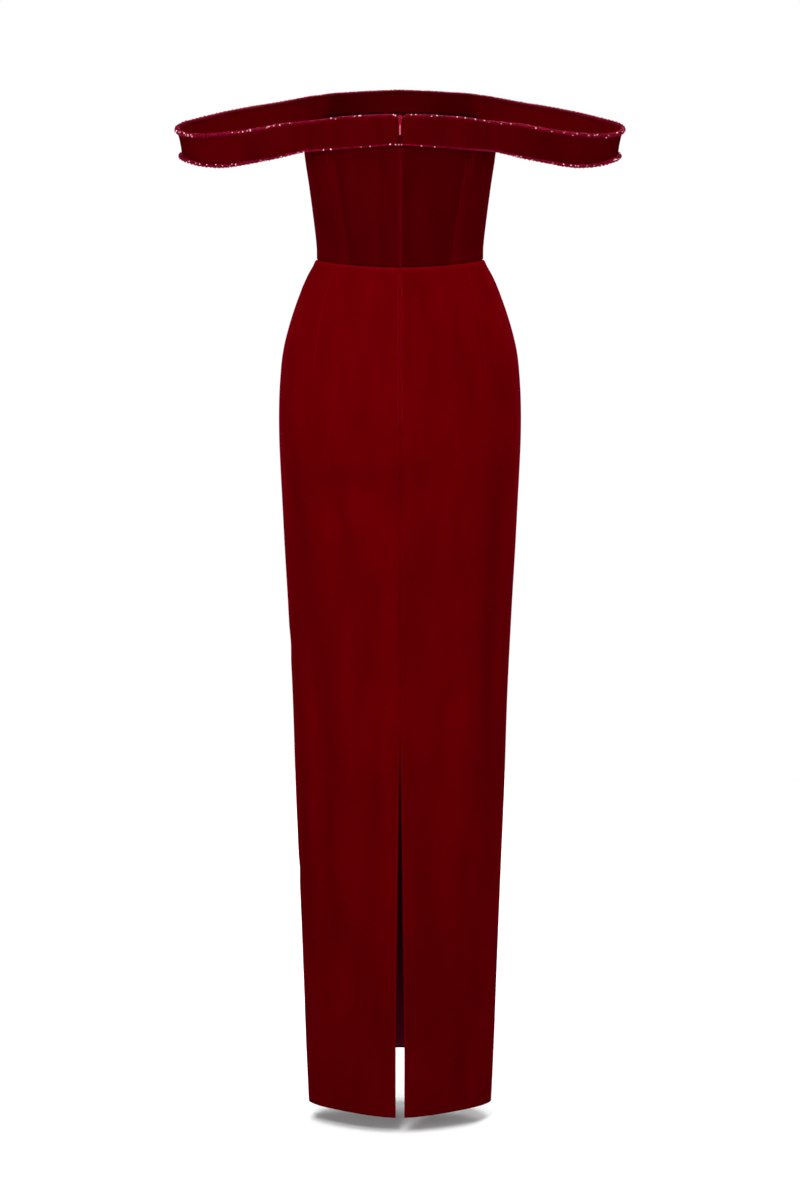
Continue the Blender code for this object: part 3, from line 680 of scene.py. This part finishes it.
columns, rows = np.linspace(0, 1, 111)[:, None], np.linspace(0, 1, 131)[None, :]
angle = LINING_START + (360 - 2 * LINING_START) * columns
foot = hem_height(angle) + LINING_HEM_UP
height = LINING_TOP + (foot - LINING_TOP) * rows
direction = outward(SKIRT, angle, height)
ripple = 0.5 + 0.5 * np.sin(np.radians(angle) * 17 + 6 * height + np.sin(np.radians(angle) * 5))
inset = LINING_CLEAR + LINING_RIPPLE * ripple * ease(0, 0.5, rows)
inset = inset - np.minimum(0, hanging_folds(angle, height))
inset = inset + LINING_HEM_SINK * hump(LINING_HEM_DEPTH, LINING_STITCH_SPREAD, height - foot)
face = on_body(SKIRT, angle, height) - direction * inset[..., None]
lining = cloth("skirt_lining_satin", face, direction, 0.0, LINING_CLOTH, lining_satin(),
               LINING_HEM_SHADE * hump(LINING_HEM_DEPTH, LINING_HEM_SPREAD, height - foot))
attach(lining, "gown")
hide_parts("skirt_lining_front")
cut_from(face)


# The zip: a woven tape sewn behind the centre back edges, with a nylon coil down its middle that the two
# turned edges almost close over. Both are dyed plum to go with the velvet.

ZIP_TOP = 0.1960
ZIP_TAPE_WIDTH = 0.014
ZIP_TAPE_THICK = 0.0008
ZIP_TAPE_BOW = 0.0003
SELVEDGE_SINK = 0.0003
SELVEDGE_FROM = 0.9         # of the tape's half width
ZIP_DEEP, ZIP_BRIGHT = (0.105, 0.0, 0.005), (0.170, 0.0001, 0.009)
ZIP_INSET = CLOTH + 4 * SEAM_GAP
COIL_FIRST_TURNS = 3        # the coil's first turns, doubled until it has its whole length
COIL_DOUBLINGS = 7
COIL_RADIUS = 0.0010
COIL_WIRE = 0.00028
COIL_STEPS = 10             # round one turn
COIL_FLAT = 0.45            # the coil is pressed flat against the tape


def zip_nylon():
    """Ribbed tape weave, a little shiny, and the same dye on the coil."""
    finish = Finish("zip_tape_weave", {"Specular IOR Level": 0.04})
    ribs = finish.node("ShaderNodeTexWave", 1, {"bands_direction": 'Z'},
                       {"Vector": finish.place(), "Scale": 160, "Distortion": 1.0, "Detail": 1})
    finish.vary("Base Color", finish.mix(ribs, ZIP_DEEP, ZIP_BRIGHT))
    finish.vary("Roughness", 0.45 + 0.2 * ribs)
    finish.vary("Normal", finish.bump(ribs, 0.0003, 0.5))
    return finish.material


def centre_back(height):
    """Points of the gown's outer surface down the centre back."""
    return np.where((height > 0)[..., None], on_body(BODICE, 0.0, height), on_body(SKIRT, 0.0, height))


zip_finish = zip_nylon()
across, height = np.meshgrid(np.linspace(-1, 1, 13), np.linspace(ZIP_TOP, ZIP_END, 161), indexing="ij")
inset = ZIP_INSET + ZIP_TAPE_BOW * abs(across) + SELVEDGE_SINK * (abs(across) > SELVEDGE_FROM)
face = centre_back(height) + np.stack([ZIP_TAPE_WIDTH / 2 * across, -inset, 0 * inset], -1)
tape = cloth("zip_tape_woven", face, np.array([0.0, 1.0, 0.0]), 0.0, ZIP_TAPE_THICK, zip_finish)

bm = bmesh.new()
bmesh.ops.create_circle(bm, segments=5, radius=COIL_WIRE,
                        matrix=Matrix.Translation((COIL_RADIUS, 0, 0)) @ Matrix.Rotation(math.pi / 2, 4, 'X'))
pitch = (ZIP_TOP - ZIP_END) / (COIL_FIRST_TURNS * 2**COIL_DOUBLINGS)
bmesh.ops.spin(bm, geom=bm.verts[:] + bm.edges[:], cent=(0, 0, 0), axis=(0, 0, 1),
               angle=2 * math.pi * COIL_FIRST_TURNS, steps=COIL_STEPS * COIL_FIRST_TURNS,
               dvec=(0, 0, pitch / COIL_STEPS))
for n in range(COIL_DOUBLINGS):
    again = bmesh.ops.duplicate(bm, geom=bm.verts[:] + bm.edges[:] + bm.faces[:])["geom"]
    bmesh.ops.translate(bm, verts=[part for part in again if isinstance(part, bmesh.types.BMVert)],
                        vec=(0, 0, pitch * COIL_FIRST_TURNS * 2**n))
bmesh.ops.remove_doubles(bm, verts=bm.verts[:], dist=1e-5)
bmesh.ops.holes_fill(bm, edges=[rim for rim in bm.edges if rim.is_boundary], sides=5)
bmesh.ops.recalc_face_normals(bm, faces=bm.faces[:])
lift = [vertex.co.z for vertex in bm.verts]
spine = centre_back(np.clip(ZIP_END + np.array(lift), ZIP_END, ZIP_TOP))
for vertex, (x, y, z) in zip(bm.verts, spine):
    vertex.co = (vertex.co.x, y - ZIP_INSET + COIL_RADIUS * COIL_FLAT + vertex.co.y * COIL_FLAT, z)
coil = finished("zip_coil_nylon", bm, zip_finish)
for piece in (tape, coil):
    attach(piece, "gown")
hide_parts("zip_tape")
cut_from(face)


# The shoulder band: a straight strip of velvet folded double, sewn round the top of the bodice and left
# free in a loop round each arm. It buckles a little where it leaves the bodice and at the loops' bends.

BAND_CLOTH = 0.0030
TRIM_SIT = 0.0053           # the solid's cloth stops this far inside the band's top and bottom
HUG_GAP = 0.0008
LOOP_LEAN_FROM = 0.20
LOOP_LEAN = 0.055
BAND_END = 0.0020           # from the middle of the zip
BAND_END_ROW = 0.03         # beside the zip, a row of the band is this long
BAND_CORNER_DEPTH = 0.0045
BAND_CORNER_WIDTH = 0.0075
BAND_CROWN = 0.0007         # the middle of the strip is a little fuller than its edges
BAND_EDGE_SINK = 0.0008
BAND_EDGE_SPREAD = 0.03     # of the band's height
BAND_STATIONS = 270         # along one half
LOOP_END = 13               # the band's row where the loop turns back
LOOP_END_SPREAD = 1.3
LOOP_HOLLOW = 0.0032        # there the cloth is drawn in between its two bead ropes

OnBodice = namedtuple("OnBodice", "angle top bottom")
RoundArm = namedtuple("RoundArm", "x y top bottom")
BAND = [
    OnBodice(0, 0.2070, 0.1628), OnBodice(12, 0.2064, 0.1612), OnBodice(24, 0.2051, 0.1592),
    OnBodice(35, 0.2035, 0.1575), OnBodice(45, 0.2012, 0.1562),
    RoundArm(0.1140, 0.0605, 0.1995, 0.1552), RoundArm(0.1310, 0.0520, 0.1980, 0.1540),
    RoundArm(0.1500, 0.0460, 0.1960, 0.1502), RoundArm(0.175, 0.0425, 0.1930, 0.1447),
    RoundArm(0.210, 0.0405, 0.1865, 0.1385), RoundArm(0.248, 0.0370, 0.1816, 0.1332),
    RoundArm(0.282, 0.0290, 0.1795, 0.1352), RoundArm(0.305, 0.0170, 0.1826, 0.1416),
    RoundArm(0.3135, 0.0, 0.1895, 0.1478), RoundArm(0.305, -0.0170, 0.1970, 0.1530),
    RoundArm(0.282, -0.0300, 0.2040, 0.1590), RoundArm(0.248, -0.0420, 0.2125, 0.1670),
    RoundArm(0.210, -0.0520, 0.2200, 0.1740), RoundArm(0.175, -0.0600, 0.2258, 0.1800),
    RoundArm(0.150, -0.0665, 0.2305, 0.1850), RoundArm(0.1320, -0.0740, 0.2340, 0.1885),
    RoundArm(0.1165, -0.0840, 0.2365, 0.1910),
    OnBodice(136, 0.2388, 0.1933), OnBodice(146, 0.2405, 0.1950), OnBodice(157, 0.2422, 0.1967),
    OnBodice(168, 0.2436, 0.1980), OnBodice(180, 0.2446, 0.1990),
]
# Radius of the bead ropes along the band's edges, and how far inside the band's height the cloth stops for
# them. The stations are the band's rows, counted from the zip.
Rope = namedtuple("Rope", "station upper lower inset_upper inset_lower")
ROPE = [
    Rope(0, 0.0018, 0.0015, 0.0033, 0.0027), Rope(4, 0.0019, 0.0016, 0.0034, 0.0027),
    Rope(7, 0.0024, 0.0021, 0.0039, 0.0030), Rope(10, 0.0031, 0.0029, 0.0047, 0.0033),
    Rope(13, 0.0036, 0.0034, 0.0053, 0.0036), Rope(16, 0.0032, 0.0029, 0.0048, 0.0034),
    Rope(20, 0.0027, 0.0023, 0.0043, 0.0031), Rope(26, 0.0025, 0.0021, 0.0041, 0.0030),
]
ROPE_SITS = 0.62            # of its radius above the cloth's edge, drawn down by the whipping
# A crease stands across the band at a station, leaning along it from bottom to top; right is negative.
Crease = namedtuple("Crease", "station lean width depth")
CREASES = [
    Crease(5.7, 0.10, 0.22, -0.0010), Crease(6.3, 0.15, 0.20, 0.0009), Crease(6.9, 0.25, 0.24, -0.0011),
    Crease(7.6, 0.30, 0.30, 0.0007), Crease(9.2, 0.8, 0.35, -0.0006), Crease(10.4, -0.7, 0.40, 0.0006),
    Crease(11.8, 0.5, 0.40, -0.0007), Crease(12.8, -0.2, 0.30, 0.0006), Crease(13.5, 0.3, 0.35, -0.0006),
    Crease(-5.6, -0.10, 0.22, -0.0010), Crease(-6.2, 0.20, 0.20, 0.0010), Crease(-6.7, 0.25, 0.20, -0.0012),
    Crease(-7.3, 0.35, 0.26, 0.0008), Crease(-8.8, -0.8, 0.35, -0.0006), Crease(-10.1, 0.7, 0.40, 0.0006),
    Crease(-11.6, -0.4, 0.35, -0.0008), Crease(-12.7, 0.3, 0.30, 0.0006), Crease(-13.6, -0.3, 0.35, -0.0006),
    Crease(16.0, 0.5, 0.5, -0.0007), Crease(-16.6, -0.5, 0.5, -0.0007), Crease(19.4, 0.3, 0.4, 0.0008),
    Crease(-19.2, 0.3, 0.4, 0.0008),
]

# The band's pile is the skirt's velvet, painted darker as shade
BAND_PILE = Pile(deep=(0.047, 0.0, 0.0006), bright=(0.070, 0.0, 0.0010), rim=(0.115, 0.0, 0.0036),
                 backing=(0.078, 0.0, 0.0008))
BAND_GLOW = 0.5
BAND_GLOW_SPREAD = 0.035    # of the band's height
# Painted shade over the loops, deeper on the wearer's right
LEFT_LOOP_SHADE = 0.15
RIGHT_LOOP_SHADE = 0.42
LOOP_SHADE_FROM, LOOP_SHADE_TO = 4.5, 8
CREASE_SHADING = 90         # painted shade in a crease's trough and painted highlight on its ridge, for each metre of its depth
CREASES_END = 20            # from this row on no shade is painted in the creases


def through(points, at):
    """Places on a smooth curve through points that runs square to the middle plane at both ends."""
    flip = np.array([-1, 1, 1])
    padded = np.array([points[1] * flip, *points, points[-2] * flip])
    i = np.clip(at.astype(int), 0, len(points) - 2)
    t = (at - i)[:, None]
    a, b, c, d = (padded[i + n] for n in range(4))
    return 0.5 * (2 * b + (c - a) * t + (2 * a - 5 * b + 4 * c - d) * t**2 + (3 * b - a - 3 * c + d) * t**3)


def band_line(part, at):
    """The band's inner face at one height of the cloth, 0 at its bottom edge and 1 at its top."""
    points = []
    for row in BAND:
        low, high = row.bottom + TRIM_SIT, row.top - TRIM_SIT
        z = low + (high - low) * part
        if isinstance(row, OnBodice):
            level = outward(BODICE, row.angle, z) * np.array([1, 1, 0])
            points.append(on_body(BODICE, row.angle, z) + unit(level) * HUG_GAP)
        else:
            lean = LOOP_LEAN * max(0.0, row.x - LOOP_LEAN_FROM) * (1 - part)
            points.append(np.array([row.x - lean, row.y, z]))
    line = through(points, at)
    inset_upper, inset_lower = read_table(ROPE, at)[2:]
    line[:, 2] += part * (TRIM_SIT - inset_upper) - (1 - part) * (TRIM_SIT - inset_lower)
    beside_zip = (at < 1) * (1 - ease(BAND_END, BAND_END + BAND_CORNER_WIDTH, line[:, 0]))
    line[:, 2] -= BAND_CORNER_DEPTH * part**6 * beside_zip
    return line


def level_outward(line):
    """Level direction square to the band, away from the wearer or the arm."""
    along = np.gradient(line, axis=0)
    along[0] = (1, 0, 0)
    along[-1] = (-1, 0, 0)
    return unit(np.stack([-along[:, 1], along[:, 0], 0 * along[:, 0]], -1))


def both_halves(half):
    """The wearer's left half from the zip to the centre front, then the right half back to the zip."""
    return np.concatenate([half, half[-2::-1] * np.array([-1, 1, 1])])


last = len(BAND) - 1
start = BAND_END / on_body(BODICE, BAND[1].angle, BAND[1].top)[0]
stations = start + (last - start) * np.linspace(0, 1, BAND_STATIONS + 1)
signed = np.concatenate([stations, -stations[-2::-1]])[:, None]
parts = 1 - np.array([0, 0.006, 0.015, 0.03, 0.06, *np.linspace(0.1, 0.9, 19), 0.94, 0.97, 0.985, 0.994, 1])
lines = [band_line(part, stations) for part in parts]
inner = np.stack([both_halves(line) for line in lines], 1)
direction = np.stack([both_halves(level_outward(line)) for line in lines], 1)
up = parts[None, :]
rise = BAND_CROWN * 4 * up * (1 - up)
rise = rise - BAND_EDGE_SINK * (hump(0, BAND_EDGE_SPREAD, up) + hump(1, BAND_EDGE_SPREAD, up))
rise = rise - LOOP_HOLLOW * hump(LOOP_END, LOOP_END_SPREAD, abs(signed)) * np.sin(math.pi * up)**0.5
for crease in CREASES:
    middle = crease.station + crease.lean * (up - 0.5)
    rise = rise + crease.depth * hump(middle, crease.width, signed) * (0.45 + 0.55 * np.sin(math.pi * up))
face = inner + direction * (BAND_CLOTH + rise)[..., None]
# Painted shade over the loops and in the creases' troughs, lighter on their ridges
pressed = np.where(signed > 0, LEFT_LOOP_SHADE, RIGHT_LOOP_SHADE)
pressed = pressed * ease(LOOP_SHADE_FROM, LOOP_SHADE_TO, abs(signed))
pressed = np.clip(pressed - CREASE_SHADING * rise * (abs(signed) < CREASES_END), 0, 1)
# Painted sheen along the band's top and bottom edges
glow = BAND_GLOW * (hump(0, BAND_GLOW_SPREAD, up) + hump(1, BAND_GLOW_SPREAD, up))
end_gap = np.minimum(stations - start, 1) * BAND_END_ROW
ends = np.concatenate([end_gap, end_gap[-2::-1]])[:, None]
band = cloth("shoulder_band_velvet", face, direction, edge_drop(ends), BAND_CLOTH,
             velvet("band_velvet_pile", BAND_PILE), glow, pressed)
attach(band, "gown")
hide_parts("shoulder_band")


# The bead trims: small glass beads strung on thread and whipped over both edges of the band in slanting
# rounds, so that each edge is a lumpy rope. They turn down into the notch beside the zip.

BEAD = 0.0019
BEAD_PITCH = 0.0021         # from one round of thread to the next
BUNCH = 0.0060              # the rounds are drawn into bunches of this length
BUNCH_SWELL = 0.16          # of the rope's radius
ROUND_SPAN = 300            # degrees of the rope that a round of beads covers, the cloth's side left bare
BEAD_SUNK = 0.0012          # of each bead is buried in the thread core
BEAD_DEEP, BEAD_BRIGHT, BEAD_PALE_GLINT = (0.066, 0.0, 0.0035), (0.310, 0.0005, 0.028), (0.95, 0.50, 0.60)
PALE_GLINT_FROM = 0.87            # shade above which a bead is lined with pale pink, also a painted glint: only beads facing out reach it
OUTER_SHADE = 0.75          # painted shade: beads are painted darker from the rope's outer side to the wearer's side
OUTER_SHADE_SWING = 0.25
CORE_SHADE = 0.1
CORE_SIDES = 6


def glass_beads():
    """Cut crimson glass lined with silver: most beads deep, a few lined with pale pink, which also serve as
    painted glints.
    """
    finish = Finish("bead_glass", {"Metallic": 0.3, "Specular IOR Level": 0.12,
                                   "Specular Tint": (0.8, 0.03, 0.15, 1.0)})
    shade = finish.mark("shade")
    colour = finish.mix(shade, BEAD_DEEP, BEAD_BRIGHT)
    pale_glint = finish.math("GREATER_THAN", shade, PALE_GLINT_FROM)
    finish.vary("Base Color", finish.mix(0.85 * pale_glint, colour, BEAD_PALE_GLINT))
    finish.vary("Roughness", 0.30 - 0.14 * shade)
    return finish.material


def evenly(path, spacing, *rows):
    """Values known at a path's points, read again at even spacing, with the length up to each place."""
    length = np.concatenate([[0], np.cumsum(np.linalg.norm(np.diff(path, axis=0), axis=1))])
    want = np.linspace(0, length[-1], int(length[-1] / spacing) + 1)
    at = np.interp(want, length, np.arange(len(path)))
    read = [np.stack([np.interp(at, np.arange(len(path)), values) for values in row.T], -1) for row in rows]
    return want, read


def bead_trim(name, node, part, up, column, shift):
    """A rope of beads along one edge: up is 1 on the top edge and -1 on the bottom one."""
    half = band_line(part, stations)
    out = both_halves(level_outward(half))
    radius = read_table(ROPE, abs(signed[:, 0]))[column][:, None]
    centre = both_halves(half) + out * np.maximum(BAND_CLOTH / 2, radius + shift)
    centre += up * ROPE_SITS * radius * np.array([0, 0, 1])
    length, (centre, out, radius) = evenly(centre, BEAD_PITCH, centre, out, radius)
    along, radius = unit(np.gradient(centre, axis=0)), radius[:, 0]
    above = unit(np.cross(out, along)) * np.sign(np.cross(out, along)[:, 2:]) * up
    rng = random.Random(node)
    bead = bpy.data.meshes.new("bead")
    bm = bmesh.new()
    bmesh.ops.create_uvsphere(bm, u_segments=6, v_segments=4, radius=0.5)
    bm.to_mesh(bead)
    bm.clear()
    shades = []
    for k in range(len(centre)):
        swell = BUNCH_SWELL * math.sin(2 * math.pi * length[k] / BUNCH) + rng.uniform(-0.05, 0.05)
        ring = radius[k] * (1 + swell) - BEAD / 2
        count = max(4, round(math.radians(ROUND_SPAN) * ring / BEAD) + 1)
        for n in range(count):
            share = n / (count - 1) - 0.5
            turned_by = math.radians(90 + ROUND_SPAN * share + rng.uniform(-6, 6))
            place = (centre[k] + ring * (out[k] * math.cos(turned_by) + above[k] * math.sin(turned_by))
                     + along[k] * BEAD_PITCH * (0.9 * share + rng.uniform(-0.15, 0.15)))
            size = BEAD * rng.uniform(0.82, 1.25)
            copy = bead.copy()
            tilt = Matrix.Rotation(rng.uniform(0, 3), 4, Vector((rng.uniform(-1, 1), rng.uniform(-1, 1), 1)))
            copy.transform(Matrix.Translation(place) @ Matrix.Scale(size, 4) @ tilt)
            bm.from_mesh(copy)
            bpy.data.meshes.remove(copy)
            # Painted shade: beads turned towards the wearer's side are painted darker
            shade = rng.random() * (OUTER_SHADE + OUTER_SHADE_SWING * math.cos(turned_by))
            shades += [shade] * len(bead.vertices)
    beads = len(bm.verts)
    stops = range(0, len(centre), 2)
    grid = bmesh.ops.create_grid(bm, x_segments=len(stops) - 1, y_segments=CORE_SIDES, size=0.5)["verts"]
    for vertex in grid:
        k = stops[round((vertex.co.x + 0.5) * (len(stops) - 1))]
        around = 2 * math.pi * (vertex.co.y + 0.5)
        reach = radius[k] - BEAD + BEAD_SUNK
        vertex.co = centre[k] + reach * (out[k] * math.cos(around) + above[k] * math.sin(around))
    bmesh.ops.remove_doubles(bm, verts=grid, dist=1e-6)
    bmesh.ops.holes_fill(bm, edges=[edge for edge in bm.edges if edge.is_boundary], sides=CORE_SIDES)
    bmesh.ops.recalc_face_normals(bm, faces=bm.faces[:])
    shades += [CORE_SHADE] * (len(bm.verts) - beads)
    trim = finished(name, bm, bead_finish)
    trim.data.shade_flat()
    trim.data.attributes.new("shade", 'FLOAT', 'POINT').data.foreach_set("value", shades)
    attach(trim, "gown")
    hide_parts(node)
    return trim


bead_finish = glass_beads()
trims = [bead_trim("bead_trim_upper_glass", "bead_trim_upper", 1.0, 1, 0, -0.0010),
         bead_trim("bead_trim_lower_glass", "bead_trim_lower", 0.0, -1, 1, 0.0003)]
cut_from(face)


# The slider and its pull tab: small die-cast metal, lacquered wine red, with a pale highlight painted down
# the middle of the tab. The slider rests at the top of the coil and the tab hangs on its bail.

# the paler lacquer colour serves both the random wear and the painted highlight
LACQUER, WEAR_AND_HIGHLIGHT = (0.230, 0.002, 0.018), (0.640, 0.150, 0.210)
HIGHLIGHT_FROM = 0.1925           # height below which a pale highlight is painted on the tab
HIGHLIGHT_SHARPNESS = 180
HIGHLIGHT_HALF_WIDTH = 0.0009     # and only down the middle of the tab
HIGHLIGHT_EDGE_SHARPNESS = 2500


def lacquered_metal(name, highlight_strength):
    """Wine-red lacquer, unevenly worn, with a pale highlight painted down the middle of the tab."""
    finish = Finish(name, {"Coat Weight": 0.06, "Coat Roughness": 0.10, "Metallic": 0.4,
                           "Specular Tint": (0.6, 0.03, 0.12, 1.0)})
    uneven = finish.noise(finish.place((1, 1, 0.6)), 420, 3)
    where = finish.place()
    height = finish.node("ShaderNodeSeparateXYZ", "Z", {}, {"Vector": where})
    aside = finish.math("ABSOLUTE", finish.node("ShaderNodeSeparateXYZ", "X", {}, {"Vector": where}))
    # Painted highlight: a pale stripe down the middle of the tab, below a height
    painted_highlight = finish.math("MINIMUM", HIGHLIGHT_SHARPNESS * (HIGHLIGHT_FROM - height), highlight_strength)
    painted_highlight = finish.math("MINIMUM", HIGHLIGHT_EDGE_SHARPNESS * (HIGHLIGHT_HALF_WIDTH - aside), painted_highlight)
    finish.vary("Base Color", finish.mix(painted_highlight + 1.2 * uneven - 0.6, LACQUER, WEAR_AND_HIGHLIGHT))
    finish.vary("Roughness", 0.22 + 0.22 * uneven)
    finish.vary("Normal", finish.bump(uneven, 0.0002, 0.2))
    return finish.material


for node, highlight_strength in (("zip_slider", -0.1), ("zip_pull", 0.75)):
    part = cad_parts[node]
    part.data.materials.clear()
    part.data.materials.append(lacquered_metal(node + "_lacquer", highlight_strength))


# The studio: a round white floor in a white room with a dim ceiling, a large soft light high on the
# wearer's left behind the gown, weaker ones on the right and in front, and a wide one overhead.

FLOOR = -1.265
FLOOR_RADIUS = 2.6
WALL_TOP = 0.25             # sine of the angle at which the white wall starts to fade
CEILING_FROM = 0.60         # and of the one where it has faded to the ceiling's strength
CEILING = 0.12
CAMERA_OUT = 4.30
CAMERA_UP = 0.14
CAMERA_PITCH = 8.3
CAMERA_LENS = 90.0

bm = bmesh.new()
bmesh.ops.create_circle(bm, cap_ends=True, segments=96, radius=FLOOR_RADIUS,
                        matrix=Matrix.Translation((0, 0, FLOOR)))
paper = Finish("studio_paper", {"Roughness": 0.9, "Specular IOR Level": 0.1})
grain = paper.noise(paper.place(), 60, 2)
paper.vary("Base Color", paper.mix(grain, (0.90, 0.90, 0.90), (0.93, 0.93, 0.93)))
finished("studio_floor", bm, paper.material)


def soft_light(name, place, aim, size, power):
    light = bpy.data.lights.new(name, 'AREA')
    light.shape = 'DISK'
    light.size = size
    light.energy = power
    lamp = bpy.data.objects.new(name, light)
    lamp.location = place
    lamp.rotation_euler = (Vector(aim) - Vector(place)).to_track_quat('-Z', 'Y').to_euler()
    bpy.context.scene.collection.objects.link(lamp)


soft_light("light_high_left", (0.7, 2.6, 2.3), (0, 0, 0.0), 1.2, 78)
soft_light("light_right", (-2.4, 2.6, 1.4), (0, 0, 0.0), 1.4, 12)
soft_light("light_front", (-1.7, -2.6, 1.9), (0, 0, -0.2), 1.4, 62)
soft_light("light_above", (0, 0, 4.4), (0, 0, 0.0), 5.0, 380)

world = bpy.data.worlds.new("studio_room")
world.use_nodes = True
room = Nodes(world.node_tree, "Background", {"Color": (1.0, 1.0, 1.0, 1.0)})
looking = room.node("ShaderNodeTexCoord", "Generated", {}, {})
upwards = room.node("ShaderNodeSeparateXYZ", "Z", {}, {"Vector": looking})
room.vary("Strength", room.node("ShaderNodeMapRange", "Result", {}, {
    "Value": upwards, "From Min": WALL_TOP, "From Max": CEILING_FROM, "To Min": 1.0, "To Max": CEILING}))
bpy.context.scene.world = world
bpy.context.scene.view_settings.view_transform = 'Standard'

camera = bpy.data.cameras.new("camera_behind")
camera.lens = CAMERA_LENS
viewer = bpy.data.objects.new("camera_behind", camera)
viewer.location = (0, CAMERA_OUT, CAMERA_UP)
viewer.rotation_euler = (math.radians(90 - CAMERA_PITCH), 0, math.pi)
bpy.context.scene.collection.objects.link(viewer)
bpy.context.scene.camera = viewer
